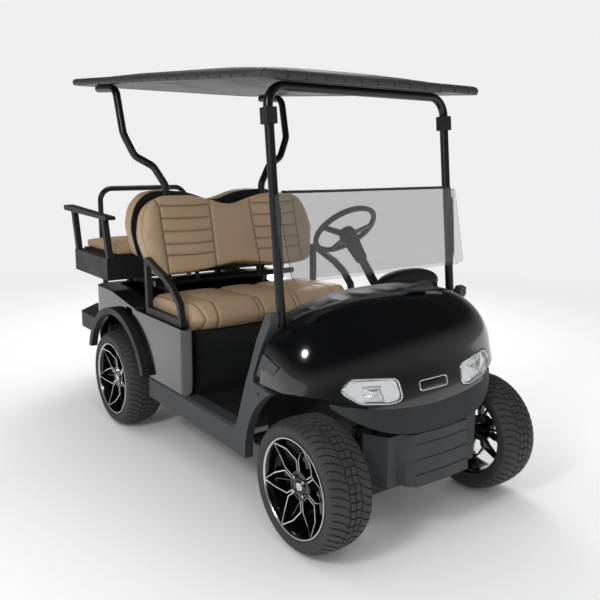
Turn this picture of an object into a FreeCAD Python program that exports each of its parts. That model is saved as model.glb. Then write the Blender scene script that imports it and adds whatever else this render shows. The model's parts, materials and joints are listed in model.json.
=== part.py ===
import FreeCAD, Part
import math
import os

V = FreeCAD.Vector

# The vehicle faces -Y and stands on z = 0. Places along it are given as a
# distance behind the front axle, and at() turns them into Y.

# Main sizes, in millimetres
WHEELBASE = 1669.0
REAR_OVERHANG = 882.0           # rear axle to the back edge of the footrest
VEHICLE_REAR = WHEELBASE + REAR_OVERHANG
FIT = 0.3                       # gap between pieces that seat on each other
RUNNING = 6.0                   # gap round pieces that move

# Sizes: wheels
TYRE_RADIUS = 265.0
TYRE_WIDTH = 202.0
TYRE_SIDE = 5.0                 # how far the tyre bulges past the rim's lip
RIM_RADIUS = 197.0
RIM_WALL = 9.0
BEAD_SET = 13.3                 # tyre's widest point to its bead
TYRE_WIDE = 235.0               # radius at the tyre's widest point
SHOULDER = 34.0                 # how far in from its side the tread starts
FLANGE = 5.4                    # thickness of the rim's outer lip
RIM_RECESS = 41.0               # rim's outer lip to the hub face
FRONT_FACE = 578.0              # centre plane to the front rims' outer lip
REAR_FACE = 616.0
SPOKES = 6
FORK_RADIUS = 102.0             # where each spoke forks
KINK_RADIUS = 160.0             # where its two arms bend
KINK_ANGLE = 14.5
LIP_ANGLE = 26.0
SPOKE_WIDTH = 11.0
SPOKE_DEPTH = 20.0
HUB_RADIUS = 56.0
CAP_RADIUS = 22.0
SPINDLE_RADIUS = 17.0

# Sizes: front axle and steering
KINGPIN_X = 412.0
KINGPIN_RADIUS = 11.0
KNUCKLE_TOP = 340.0
KNUCKLE_BOTTOM = 190.0
ARM_TOP = 204.0                 # top of the knuckle's steering arm
ARM_REACH = 95.0                # kingpin to tie rod end, behind it
LOWER_ARM_Z = 173.0
UPPER_ARM_Z = 357.0
TOWER_X = 236.0
SPRING_RADIUS = 24.0
TIE_ROD_RADIUS = 8.0
WHEEL_GRIP = 162.0              # steering wheel centre to the middle of its rim
GRIP_RADIUS = 14.0
WHEEL_TILT = 45.0
WHEEL_X = 278.0
WHEEL_BACK = 747.0
WHEEL_Z = 1135.0
COLUMN_RADIUS = 21.0
COLUMN_LENGTH = 640.0

# Sizes: chassis
RAIL_X = 185.0
RAIL_WIDTH = 50.0
RAIL_HEIGHT = 60.0
RAIL_TOP = 300.0
RAIL_KICK = 110.0               # how far the rails rise over the rear axle
RAIL_REAR = WHEELBASE + 451.0
UPRIGHT_X = 415.0
SPRING_REACH = 330.0            # rear axle to each spring eye
SOCKET_TOP = 690.0
JOIST = 40.0
FLOOR_HALF = 500.0
FLOOR_THICK = 12.0
MAT_THICK = 8.0
TOE_TOP = 600.0
TOE_BACK = 335.0
FLOOR_FRONT = 440.0
SEAT_FRONT = WHEELBASE - 764.0

# Sizes: body sides
BODY_HALF = 560.0
PANEL_THICK = 12.0
ROCKER_BOTTOM = 250.0
ROCKER_FRONT = 455.0
ROCKER_REAR = WHEELBASE - 369.0
PANEL_TOP = 690.0
PANEL_FRONT = SEAT_FRONT - 18.0
PANEL_REAR = WHEELBASE - 229.0
ARCH_RADIUS = 352.0
FLARE_WIDTH = 38.0             # how far the arch lips stand out of the side
FLARE_BAND = 36.0
REAR_ARCH = 360.0
BODY_REAR = WHEELBASE + 371.0
BODY_TOP = 740.0
BODY_WALL = 10.0

# Front cowl: the shell is swept about a line inside it
PIVOT_BACK = 230.0
PIVOT_Z = 520.0
COWL_HALF = 575.0
COWL_WALL = 8.0
COWL_PROFILE = [(-8, 412), (4, 408), (15, 404), (27, 410), (43, 450), (60, 474),
                (72, 470), (84, 452), (96, 428), (108, 400)]
STRIP_FRONT = 35.0              # front edge of the trim strip on the centre line
STRIP_SWEEP = 115.0             # how much further back it is at STRIP_X
STRIP_X = 445.0
STRIP_WIDTH = 24.0
SEAM_Z = 547.0                  # seam between cowl and bumper on the centre line
SEAM_RISE = 48.0
SEAM_X = 460.0
BUMPER_LOW = 455.0
BUMPER_RISE = 125.0
BUMPER_TIP = 450.0
BUMPER_WALL = 12.0
BUMPER_LEAN = 38.0
NOSE_FRONT = -178.0
NOSE_SWEEP = 97.0               # how far the nose falls back at SEAM_X
APRON_BOTTOM = 245.0
APRON_TOP = 452.0
APRON_FRONT = -236.0            # front face at the bottom, left and right of centre
APRON_LEAN = 24.0               # how far the top sits behind the bottom
APRON_WALL = 6.0
GROOVE_TOP = 412.0              # uppermost groove across the apron
GROOVE_PITCH = 60.0
GROOVE_DEPTH = 3.0
WING_BACK = -170.0              # rear face of the apron's wings
RAIL_FRONT = WING_BACK + FIT
LENS_THICK = 3.5
LAMP_BACK = -30.0               # rear face of the lamp bowls
LAMP_X = 255.0
LAMP_Z = 630.0
DASH_REAR = 330.0
DASH_BOTTOM = 735.0
HOOD_TOP = 1003.0               # top of the hump over the instruments

# Sizes: front frame, windshield and roof
STRUT_X = 485.0
STRUT_RADIUS = 19.0
STRUT_BACK = 218.5              # strut centre at STRUT_Z
STRUT_Z = 939.0
STRUT_LEAN = 0.1186
STRUT_FOOT_BACK = STRUT_BACK + (SOCKET_TOP - STRUT_Z) * STRUT_LEAN
CROSS_Z = 1767.0
STRUT_BEND = 80.0
PANE = 5.0
PANE_TOP = 1362.0
PANE_BOTTOM = 1026.0
PANE_HALF = 498.0
PANE_GAP = 31.0                 # strut's centre line to the front of the pane behind
FOLDED_BACK = 135.0             # lower edge of the folded pane
ROOF_HALF = 600.0
ROOF_FRONT = 168.0
ROOF_REAR = WHEELBASE + 491.0
ROOF_FRONT_Z = 1778.0           # lower edge of the roof at its front
ROOF_REAR_Z = 1872.0
ROOF_EDGE = 26.0                # upright part of the edge, under the crown
ROOF_CROWN = 56.0
ROOF_CORNER = 95.0              # corner radius seen from above
ROOF_WALL = 6.0
LINER_THICK = 5.0
LINER_LIFT = 2.0                # liner's underside above the roof's lower edge
REAR_STRUT_RADIUS = 20.0

# Sizes: seats
SEAT_HALF = 495.0
SEAT_BASE_TOP = 655.0
PAN_THICK = 10.0
CUSHION_TOP = 805.0
SEAT_REAR = SEAT_FRONT + 480.0
HINGE_BACK = SEAT_REAR + 15.0
RESTRAINT_X = 530.0
RESTRAINT_THICK = 28.0
BACK_HALF = 530.0
BACK_BOTTOM = 900.0
BACK_TOP = 1290.0
BACK_THICK = 105.0
BACK_RECLINE = 16.0
BACK_DIP = 66.0                 # valley between the two humps
BACK_ARCH = 30.0                # how far the lower edge rises in the middle
SHELL_THICK = 14.0
BAR_RADIUS = 17.0
BAR_BACK = PANEL_REAR - 6.0
BAR_Z = 820.0
BACK_FRONT = SEAT_REAR - 85.0   # front face of the front backrest at its foot
REAR_BACK_FACE = WHEELBASE + 61.0  # rear face of the rear backrest at its foot
REAR_BACK_HALF = 500.0
REAR_RECLINE = 3.0
REAR_SHELL_FRONT = WHEELBASE - 75.0  # front of the pads on the rear shell
REAR_STRUT_BACK = WHEELBASE - 111.0

# Sizes: rear seat
TRAY_HALF = 550.0
TRAY_FRONT = REAR_BACK_FACE + 105.0
TRAY_REAR = TRAY_FRONT + 515.0
TRAY_BOTTOM = 785.0
TRAY_TOP = 912.0
TRAY_WALL = 14.0
REAR_SEAT_HALF = 480.0
REAR_CUSHION_TOP = 990.0
REST_TOP = 1150.0
REST_WIDTH = 52.0
FOOT_TOP = 510.0
FOOT_THICK = 95.0
TREAD_LIFT = 2.0                # how far the tread field stands up
FOOT_HALF = 525.0
FOOT_FRONT = RAIL_REAR - 19.0
HOOP_X = 308.0
HOOP_RADIUS = 17.0
HOOP_TOP = 1266.0
HOOP_BACK = VEHICLE_REAR - 31.0
HOOP_BEND = 80.0


def at(back):
    """Y of a place that lies this far behind the front axle."""
    return back - (VEHICLE_REAR - TYRE_RADIUS) / 2


def box(x0, x1, b0, b1, z0, z1):
    """A block between two places across, along and up the vehicle."""
    return Part.makeBox(x1 - x0, b1 - b0, z1 - z0, V(x0, at(b0), z0))


def mirrored(shape):
    return shape.mirror(V(0, 0, 0), V(1, 0, 0))


def both_sides(shape):
    """The same piece on the left and right, as one node of two solids."""
    return Part.makeCompound([shape, mirrored(shape)])


def joined(shapes):
    """One solid from pieces that meet."""
    first = shapes[0]
    whole = first.fuse(shapes[1:]) if len(shapes) > 1 else first
    return whole.removeSplitter()


def rounded_path(points, radii, closed=False):
    """Straight runs joined by tangent arcs at the corner points."""
    count = len(points)
    if not isinstance(radii, (list, tuple)):
        radii = [radii] * count
    ends = list(points)
    starts = list(points)
    arcs = {}
    corners = range(count) if closed else range(1, count - 1)
    for i in corners:
        here = points[i]
        to_last = (points[i - 1] - here).normalize()
        to_next = (points[(i + 1) % count] - here).normalize()
        half_turn = (math.pi - to_last.getAngle(to_next)) / 2
        if radii[i] <= 0 or half_turn < 1e-4:
            continue
        reach = radii[i] * math.tan(half_turn)
        inward = (to_last + to_next).normalize()
        centre = here + inward * (radii[i] / math.cos(half_turn))
        ends[i] = here + to_last * reach
        starts[i] = here + to_next * reach
        arcs[i] = Part.Arc(ends[i], centre - inward * radii[i], starts[i]).toShape()
    edges = []
    for i in range(count if closed else count - 1):
        after = (i + 1) % count
        if (ends[after] - starts[i]).Length > 1e-6:
            edges.append(Part.LineSegment(starts[i], ends[after]).toShape())
        if after in arcs:
            edges.append(arcs[after])
    return edges


def side_prism(points, radii, x0, x1):
    """A side outline of (behind the axle, z) corners, as thick as x0 to x1."""
    corners = [V(x0, at(b), z) for b, z in points]
    face = Part.Face(Part.Wire(rounded_path(corners, radii, True)))
    return face.extrude(V(x1 - x0, 0, 0))


def plan_prism(points, radii, z0, z1):
    """A plan outline of (x, behind the axle) corners, from z0 up to z1."""
    corners = [V(x, at(b), z0) for x, b in points]
    face = Part.Face(Part.Wire(rounded_path(corners, radii, True)))
    return face.extrude(V(0, 0, z1 - z0))


def front_prism(points, radii, b0, b1):
    """A front outline of (x, z) corners, from b0 back to b1."""
    corners = [V(x, at(b0), z) for x, z in points]
    face = Part.Face(Part.Wire(rounded_path(corners, radii, True)))
    return face.extrude(V(0, b1 - b0, 0))


def tube(points, bend, radius):
    """A round bar along straight runs and bends."""
    path = Part.Wire(rounded_path(points, bend))
    ring = Part.Wire(Part.makeCircle(radius, points[0], points[1] - points[0]))
    return path.makePipeShell([ring], True, False)


def rod(start, end, radius):
    return Part.makeCylinder(radius, (end - start).Length, start, end - start)


def across(x0, x1, back, z, radius):
    """A cylinder that lies across the vehicle."""
    return Part.makeCylinder(radius, x1 - x0, V(x0, at(back), z), V(1, 0, 0))


def spline(points):
    curve = Part.BSplineCurve()
    curve.interpolate(points)
    return curve.toShape()


def band_wire(outer, inner):
    """A closed outline between an outer and an inner smooth line."""
    side = Part.LineSegment(outer[-1], inner[-1]).toShape()
    back = spline(list(reversed(inner)))
    close = Part.LineSegment(inner[0], outer[0]).toShape()
    return Part.Wire([spline(outer), side, back, close])


# Wheels

def tyre(face_x):
    """A revolved casing with straight shoulders and an open bead."""
    outer = face_x + TYRE_SIDE
    inner = outer - TYRE_WIDTH
    bead = RIM_RADIUS - RIM_WALL
    profile = [V(inner + BEAD_SET, 0, bead), V(inner, 0, TYRE_WIDE), V(inner + SHOULDER, 0, TYRE_RADIUS),
               V(outer - SHOULDER, 0, TYRE_RADIUS), V(outer, 0, TYRE_WIDE), V(outer - BEAD_SET, 0, bead)]
    return Part.Face(Part.makePolygon(profile + [profile[0]])).revolve(V(0, 0, 0), V(1, 0, 0), 360)


def spoke_arm(r0, a0, r1, a1, width):
    """A straight bar in the wheel's plane between two polar points."""
    p = V(0, r0 * math.cos(a0), r0 * math.sin(a0))
    q = V(0, r1 * math.cos(a1), r1 * math.sin(a1))
    aside = (q - p).cross(V(1, 0, 0)).normalize() * (width / 2)
    along = (q - p).normalize() * (width * 0.35)
    corners = [p - along + aside, q + along + aside, q + along - aside, p - along - aside]
    return Part.Face(Part.makePolygon(corners + [corners[0]])).extrude(V(-SPOKE_DEPTH, 0, 0))


def rim(face_x):
    """Barrel, hub and forked spokes. The hub is set in from the outer lip."""
    lip = face_x
    inner = face_x + TYRE_SIDE - TYRE_WIDTH + BEAD_SET - FIT - 7
    bead = RIM_RADIUS - RIM_WALL - FIT
    profile = [V(inner, 0, bead - 8), V(inner, 0, bead), V(lip + TYRE_SIDE - BEAD_SET + FIT, 0, bead),
               V(lip - FLANGE, 0, RIM_RADIUS), V(lip, 0, RIM_RADIUS), V(lip - 14, 0, bead - 8)]
    face = Part.Face(Part.makePolygon(profile + [profile[0]]))
    barrel = face.revolve(V(0, 0, 0), V(1, 0, 0), 360)
    hub_face = lip - RIM_RECESS
    pieces = [barrel]
    pieces.append(Part.makeCylinder(HUB_RADIUS, 34, V(hub_face - 34, 0, 0), V(1, 0, 0)))
    pieces.append(Part.makeCylinder(CAP_RADIUS, 12, V(hub_face, 0, 0), V(1, 0, 0)))
    for i in range(SPOKES):
        axis = math.radians(99 + i * 360.0 / SPOKES)
        stem = spoke_arm(HUB_RADIUS - 6, axis, FORK_RADIUS, axis, SPOKE_WIDTH * 1.9)
        stem.translate(V(hub_face, 0, 0))
        pieces.append(stem)
        for side in (-1, 1):
            kink = axis + side * math.radians(KINK_ANGLE)
            end = axis + side * math.radians(LIP_ANGLE)
            lower = spoke_arm(FORK_RADIUS, axis, KINK_RADIUS, kink, SPOKE_WIDTH)
            lower.translate(V(hub_face + 8, 0, 0))
            upper = spoke_arm(KINK_RADIUS, kink, bead - 9, end, SPOKE_WIDTH)
            upper.translate(V(hub_face + 18, 0, 0))
            pieces.append(lower)
            pieces.append(upper)
    bore = Part.makeCylinder(SPINDLE_RADIUS + FIT, 60, V(hub_face - 80, 0, 0), V(1, 0, 0))
    return joined(pieces).cut(bore)


def placed_wheel(shape, back, left):
    """Puts a wheel made about the X axis on its axle."""
    wheel = shape.copy()
    if not left:
        wheel = mirrored(wheel)
    wheel.translate(V(0, at(back), TYRE_RADIUS))
    return wheel


# Front axle and steering

def knuckle():
    """Left upright with its spindle and steering arm."""
    half = 18.0
    upright = box(KINGPIN_X - half, KINGPIN_X + half, -20, 20, KNUCKLE_BOTTOM, KNUCKLE_TOP)
    hub_face = FRONT_FACE - RIM_RECESS
    spindle = across(KINGPIN_X, hub_face - 22, 0, TYRE_RADIUS, SPINDLE_RADIUS)
    arm = box(KINGPIN_X - half, KINGPIN_X + 6, 0, ARM_REACH, KNUCKLE_BOTTOM, ARM_TOP)
    pad = Part.makeCylinder(16, ARM_TOP - KNUCKLE_BOTTOM, V(KINGPIN_X - 6, at(ARM_REACH), KNUCKLE_BOTTOM))
    pin_hole = Part.makeCylinder(KINGPIN_RADIUS + 0.05, KNUCKLE_TOP, V(KINGPIN_X, at(0), 0))
    return joined([upright, spindle, arm, pad]).cut(pin_hole)


def front_suspension():
    """Cross beam with towers, two wishbones a side and the kingpins they carry."""
    beam_z = RAIL_TOP - RAIL_HEIGHT - FIT
    pieces = [box(-TOWER_X, TOWER_X, -45, 45, beam_z - 34, beam_z),
              box(-TOWER_X + 10, TOWER_X - 10, -62, 62, LOWER_ARM_Z - 12, beam_z - 30)]
    for side in (-1, 1):
        inner = side * (RAIL_X + RAIL_WIDTH / 2 + FIT)
        outer = side * TOWER_X
        pieces.append(box(min(inner, outer), max(inner, outer), -60, 60, beam_z - 34, 462))
        for level in (LOWER_ARM_Z, UPPER_ARM_Z):
            pieces.append(Part.makeCylinder(22, 20, V(side * KINGPIN_X, at(0), level - 10)))
            for fore in (-1, 1):
                start = V(side * (TOWER_X - 14), at(fore * 56), level)
                pieces.append(rod(start, V(side * (KINGPIN_X - 8), at(fore * 9), level), 8))
        pieces.append(box(min(side * 318, side * 352), max(side * 318, side * 352), -34, 34,
                          LOWER_ARM_Z - 6, LOWER_ARM_Z + 8))
        pieces.append(Part.makeCylinder(KINGPIN_RADIUS, UPPER_ARM_Z - LOWER_ARM_Z,
                                        V(side * KINGPIN_X, at(0), LOWER_ARM_Z)))
    pieces.append(rack_housing())
    return joined(pieces)


def front_shocks():
    """A spring over damper on each side, from lower wishbone to tower."""
    foot = V(335, at(0), 212)
    top = V(264, at(0), 440)
    along = top - foot
    pieces = [rod(foot, top, 12), rod(foot + along * 0.2, foot + along * 0.84, SPRING_RADIUS)]
    pieces.append(rod(top, V(TOWER_X + FIT, at(0), 440), 9))
    pieces.append(rod(foot, V(335, at(0), LOWER_ARM_Z + 8 + FIT), 10))
    return both_sides(joined(pieces))


def rack_level():
    """Height of the rack's centre line over the knuckles' arms."""
    return ARM_TOP + FIT + 12


def steering_rack():
    """Rack bar with a tie rod end over each knuckle's arm."""
    reach = KINGPIN_X - 6
    pieces = [across(-reach, reach, ARM_REACH, rack_level(), TIE_ROD_RADIUS)]
    for side in (-1, 1):
        pieces.append(Part.makeCylinder(15, 21, V(side * reach, at(ARM_REACH), ARM_TOP + FIT)))
    return joined(pieces)


def rack_housing():
    """The gear housing on the cross beam that the rack slides through, with its pinion tower."""
    level = rack_level()
    housing = across(-110, 110, ARM_REACH, level, 23)
    bracket = box(-100, 100, 40, ARM_REACH, 212, 230)
    tower = Part.makeCylinder(19, 62, V(92, at(ARM_REACH), level))
    hole = across(-140, 140, ARM_REACH, level, TIE_ROD_RADIUS + 0.5)
    return joined([housing, bracket, tower]).cut(hole)


def steering_axis():
    """Unit vector up the steering column, towards the driver."""
    tilt = math.radians(WHEEL_TILT)
    return V(0, math.sin(tilt), math.cos(tilt))


def wheel_centre():
    return V(WHEEL_X, at(WHEEL_BACK), WHEEL_Z)


def steering_wheel():
    """Grip ring, three spokes and a padded hub, dished towards the column."""
    up = V(0, 0, 1)
    section = []
    for i in range(6):
        turn = math.radians(60 * i)
        section.append(V(WHEEL_GRIP + GRIP_RADIUS * math.cos(turn), 0, GRIP_RADIUS * math.sin(turn)))
    ring = Part.Face(Part.makePolygon(section + [section[0]])).revolve(V(0, 0, 0), up, 360)
    dish = -28.0
    hub = Part.makeCone(48, 36, 34, V(0, 0, dish - 12), up)
    pieces = [ring, hub]
    for degrees in (90, -12, 192):
        turn = math.radians(degrees)
        out = V(math.cos(turn), math.sin(turn), 0)
        aside = V(-math.sin(turn), math.cos(turn), 0)
        half = 17.0
        low = out * 30 + V(0, 0, dish)
        high = out * WHEEL_GRIP
        lower = [low + aside * half, low - aside * half]
        upper = [high + aside * half * 0.8, high - aside * half * 0.8]
        corners = [lower[0], upper[0], upper[1], lower[1]]
        pieces.append(Part.Face(Part.makePolygon(corners + [corners[0]])).extrude(V(0, 0, -9)))
    wheel = joined(pieces)
    wheel.rotate(V(0, 0, 0), V(1, 0, 0), -WHEEL_TILT)
    wheel.translate(wheel_centre())
    return wheel


def steering_shaft():
    """Both ends of the shaft from the column's foot down to the pinion."""
    axis = steering_axis()
    foot = wheel_centre() - axis * (COLUMN_LENGTH - 20)
    return foot, V(92, at(ARM_REACH), rack_level() + 62 + FIT + 16)


def steering_column():
    """Column tube with a shroud below the wheel and the shaft down to the rack."""
    axis = steering_axis()
    top = wheel_centre() - axis * (28 + 12 + FIT)
    low = wheel_centre() - axis * COLUMN_LENGTH
    post = rod(low, top, COLUMN_RADIUS)
    shroud = Part.makeCone(30, 42, 140, wheel_centre() - axis * 190, axis)
    pinion = V(92, at(ARM_REACH), rack_level() + 62 + FIT)
    collar = rod(pinion, pinion + V(0, 0, 24), 14)
    shaft = rod(*steering_shaft(), 10)
    return joined([post, shroud, collar, shaft])


def toe_board(extra):
    """Everything ahead of the sloping toe board's face, moved back by extra."""
    z = RAIL_TOP + JOIST + FLOOR_THICK
    slope = (FLOOR_FRONT - TOE_BACK) / (TOE_TOP - z)
    low = FLOOR_FRONT + extra * 1.1
    high = low - slope * 500
    return side_prism([(low, z), (high, z + 500), (-100, z + 500), (-100, z)], 0, -FLOOR_HALF, FLOOR_HALF)


def pedals():
    """Brake and accelerator plates on arms from the toe board."""
    pieces = []
    for x, width in ((190.0, 90.0), (310.0, 62.0)):
        pad = box(x - width / 2, x + width / 2, 452, 462, 420, 520)
        pad.rotate(V(x, at(457), 470), V(1, 0, 0), -24)
        arm = rod(V(x, at(TOE_BACK - 10), 585), V(x, at(456), 480), 8)
        pieces.append(joined([pad, arm]).cut(toe_board(FIT)))
    return Part.makeCompound(pieces)


# Chassis

def chassis_frame():
    """Rails that rise over the rear axle, joists, dash support and strut sockets."""
    low = RAIL_TOP - RAIL_HEIGHT
    kick = RAIL_KICK
    bend = SEAT_FRONT + 255
    rail = [(RAIL_FRONT, low), (bend + 20, low), (bend + 130, low + kick), (RAIL_REAR, low + kick),
            (RAIL_REAR, RAIL_TOP + kick), (bend + 110, RAIL_TOP + kick), (bend, RAIL_TOP), (RAIL_FRONT, RAIL_TOP)]
    pieces = []
    for side in (-1, 1):
        x0 = side * RAIL_X - RAIL_WIDTH / 2
        pieces.append(side_prism(rail, 0, x0, x0 + RAIL_WIDTH))
    for back in (TOE_BACK + 30, TOE_BACK + 285, SEAT_FRONT - 10):
        pieces.append(box(-FLOOR_HALF, FLOOR_HALF, back - 20, back + 20, RAIL_TOP, RAIL_TOP + JOIST))
    for back in (RAIL_FRONT + 20, SEAT_FRONT + 215):
        pieces.append(box(-RAIL_X, RAIL_X, back - 20, back + 20, low + 5, RAIL_TOP - 5))
    for back in (WHEELBASE - SPRING_REACH, PANEL_REAR - 20, WHEELBASE + SPRING_REACH, RAIL_REAR - 20):
        pieces.append(box(-370, 370, back - 20, back + 20, low + kick + 8, RAIL_TOP + kick - 8))
    bar_z = SOCKET_TOP - FIT
    for side in (-1, 1):
        x = side * UPRIGHT_X
        pieces.append(box(x - 15, x + 15, 350, 380, RAIL_TOP + JOIST - 5, bar_z))
        pieces.append(box(x - 15, x + 15, STRUT_FOOT_BACK - 24, 380, bar_z - 40, bar_z))
        inner = side * (UPRIGHT_X - 15)
        outer = side * (STRUT_X + 25)
        pieces.append(box(min(inner, outer), max(inner, outer), STRUT_FOOT_BACK - 26, STRUT_FOOT_BACK + 26,
                          bar_z - 45, bar_z))
    pieces.append(box(-UPRIGHT_X, UPRIGHT_X, 350, 380, bar_z - 34, bar_z))
    clamp = box(WHEEL_X - 34, WHEEL_X + 34, 345, 385, bar_z - 4, bar_z + 62)
    pieces.append(clamp)
    axis = steering_axis()
    column = rod(wheel_centre() - axis * (COLUMN_LENGTH + 80), wheel_centre(), COLUMN_RADIUS + FIT)
    return joined(pieces).cut(column)


def floor_pan():
    """Floor plate that turns up into the toe board."""
    z = RAIL_TOP + JOIST
    line = [(SEAT_FRONT - 5, z), (SEAT_FRONT - 5, z + FLOOR_THICK), (FLOOR_FRONT, z + FLOOR_THICK),
            (TOE_BACK, TOE_TOP), (TOE_BACK - 12, TOE_TOP), (FLOOR_FRONT - 8, z)]
    pan = side_prism(line, 0, -FLOOR_HALF + 12, FLOOR_HALF - 12)
    for side in (-1, 1):
        x = side * UPRIGHT_X
        pan = pan.cut(box(x - 15 - FIT, x + 15 + FIT, 350 - FIT, 380 + FIT, z - 1, SOCKET_TOP))
    return pan


def floor_mat():
    """Rubber mat on the floor."""
    z = RAIL_TOP + JOIST + FLOOR_THICK
    return box(-FLOOR_HALF + 20, FLOOR_HALF - 20, FLOOR_FRONT + 12, SEAT_FRONT - 8, z, z + MAT_THICK)


def leaf_springs():
    """Three leaves a side, clamped on the axle, with eyes under the joists."""
    x0 = 300.0
    x1 = 345.0
    seat = TYRE_RADIUS + 30 + FIT
    eye_z = RAIL_TOP - RAIL_HEIGHT + RAIL_KICK + 8 - FIT - 12
    pieces = []
    for i in range(3):
        reach = SPRING_REACH - 90.0 * (2 - i)
        low = seat + 9 * i
        sag = (eye_z - seat - 22) * (reach / SPRING_REACH) ** 2
        points = [V(x0, at(WHEELBASE - reach), low + sag), V(x0, at(WHEELBASE), low),
                  V(x0, at(WHEELBASE + reach), low + sag)]
        lift = V(0, 0, 9.5)
        lower = Part.Arc(points[0], points[1], points[2]).toShape()
        upper = Part.Arc(points[0] + lift, points[1] + lift, points[2] + lift).toShape()
        ends = [Part.LineSegment(points[0], points[0] + lift).toShape(),
                Part.LineSegment(points[2], points[2] + lift).toShape()]
        face = Part.Face(Part.Wire(Part.__sortEdges__([lower, upper] + ends)))
        pieces.append(face.extrude(V(x1 - x0, 0, 0)))
    for back in (WHEELBASE - SPRING_REACH, WHEELBASE + SPRING_REACH):
        pieces.append(across(x0, x1, back, eye_z, 12))
    pieces.append(box(x0 - 5, x1 + 5, WHEELBASE - 30, WHEELBASE + 30, seat + 4, seat + 42))
    return both_sides(joined(pieces))


def rear_axle():
    """Axle tube with its gear case and the electric motor beside it."""
    hub_x = REAR_FACE - RIM_RECESS - 22
    pieces = [across(-hub_x, hub_x, WHEELBASE, TYRE_RADIUS, SPINDLE_RADIUS),
              across(-395, 395, WHEELBASE, TYRE_RADIUS, 30),
              across(-48, 48, WHEELBASE, TYRE_RADIUS, 88),
              across(60, 260, WHEELBASE - 105, TYRE_RADIUS, 76),
              across(20, 70, WHEELBASE - 105, TYRE_RADIUS, 60)]
    for side in (-1, 1):
        x = side * 322.0
        pieces.append(box(x - 24, x + 24, WHEELBASE - 30, WHEELBASE + 30, TYRE_RADIUS,
                          TYRE_RADIUS + 30))
    return joined(pieces)


def battery_pack():
    """The battery block under the front seat."""
    z = RAIL_TOP + FIT
    return box(-380, 380, SEAT_FRONT + 20, SEAT_FRONT + 245, z, z + 290)


# Front cowl, bumper and dash

def cowl_section(degrees, radius, inset):
    """A superellipse across the cowl, in a plane that turns about the pivot line."""
    half = COWL_HALF - inset
    reach = radius - inset
    turn = math.radians(degrees)
    points = []
    steps = 16
    start = math.radians(5)
    for i in range(steps + 1):
        phi = start + (math.pi - 2 * start) * i / steps
        x = -half * math.cos(phi)
        r = reach * math.sin(phi) ** 0.45
        points.append(V(x, at(PIVOT_BACK - r * math.cos(turn)), PIVOT_Z + r * math.sin(turn)))
    return points


def cowl_shell(outset, wall):
    """The cowl's skin, outset from its outer face and wall thick."""
    wires = []
    for degrees, radius in COWL_PROFILE:
        outer = cowl_section(degrees, radius, -outset)
        inner = cowl_section(degrees, radius, wall - outset)
        wires.append(band_wire(outer, inner))
    return Part.makeLoft(wires, True, True)


def strip_line(extra):
    """Plan curve of the trim strip's front edge, as (x, behind the axle)."""
    points = []
    for i in range(13):
        x = -620 + 1240 * i / 12
        points.append(V(x, at(STRIP_FRONT + extra + STRIP_SWEEP * (x / STRIP_X) ** 2), 0))
    return points


def ahead_of_strip(extra):
    """Everything ahead of the strip's line moved back by extra."""
    line = strip_line(extra)
    front = at(-600)
    edges = [spline(line),
             Part.LineSegment(line[-1], V(line[-1].x, front, 0)).toShape(),
             Part.LineSegment(V(line[-1].x, front, 0), V(line[0].x, front, 0)).toShape(),
             Part.LineSegment(V(line[0].x, front, 0), line[0]).toShape()]
    face = Part.Face(Part.Wire(edges))
    region = face.extrude(V(0, 0, 1000))
    region.translate(V(0, 0, 400))
    return region


def seam_height(x):
    return SEAM_Z + SEAM_RISE * (x / SEAM_X) ** 2


def front_region(drop):
    """Everything above the seam line moved down by drop, seen from the front."""
    line = []
    for i in range(13):
        x = -620 + 1240 * i / 12
        line.append(V(x, at(-600), seam_height(x) - drop))
    edges = [spline(line),
             Part.LineSegment(line[-1], V(line[-1].x, line[-1].y, 1200)).toShape(),
             Part.LineSegment(V(line[-1].x, line[-1].y, 1200), V(line[0].x, line[0].y, 1200)).toShape(),
             Part.LineSegment(V(line[0].x, line[0].y, 1200), line[0]).toShape()]
    return Part.Face(Part.Wire(edges)).extrude(V(0, 1400, 0))


def arch_cutter(radius):
    """The front wheel openings, as cylinders through each side."""
    left = across(330, 700, 10, 275, radius)
    return both_sides(left)


def strut_back(z):
    """How far behind the axle the front strut's centre is at a height."""
    return STRUT_BACK + (z - STRUT_Z) * STRUT_LEAN


def strut_cutter(extra):
    """The front struts with a gap round them."""
    pieces = []
    for side in (-1, 1):
        low = V(side * STRUT_X, at(strut_back(600)), 600)
        high = V(side * STRUT_X, at(strut_back(1300)), 1300)
        pieces.append(rod(low, high, STRUT_RADIUS + extra))
    return Part.makeCompound(pieces)


LAMP_OUTLINE = [(160, 582), (171, 674), (384, 696), (430, 642), (360, 590), (215, 571)]
LAMP_ROUND = [22, 26, 20, 24, 60, 30]


def lamp_region(shrink, b0, b1):
    """The left lamp's outline, seen from the front and drawn in by shrink."""
    cx = sum(p[0] for p in LAMP_OUTLINE) / len(LAMP_OUTLINE)
    cz = sum(p[1] for p in LAMP_OUTLINE) / len(LAMP_OUTLINE)
    points = []
    for x, z in LAMP_OUTLINE:
        points.append((cx + (x - cx) * (1 - shrink / 120), cz + (z - cz) * (1 - shrink / 56)))
    radii = [r * (1 - shrink / 70) for r in LAMP_ROUND]
    return front_prism(points, radii, b0, b1)


def front_cowl():
    """The gloss shell over the nose, cut for lamps, wheels, struts and trim."""
    skin = cowl_shell(0, COWL_WALL)
    skin = skin.common(ahead_of_strip(-FIT)).common(front_region(0))
    skin = skin.cut(arch_cutter(ARCH_RADIUS)).cut(strut_cutter(FIT))
    lamp = lamp_region(0, -400, 60)
    skin = skin.cut(lamp).cut(mirrored(lamp))
    pillar = both_sides(side_prism(PILLAR, 0, 440, 620))
    return skin.cut(pillar)


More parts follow.
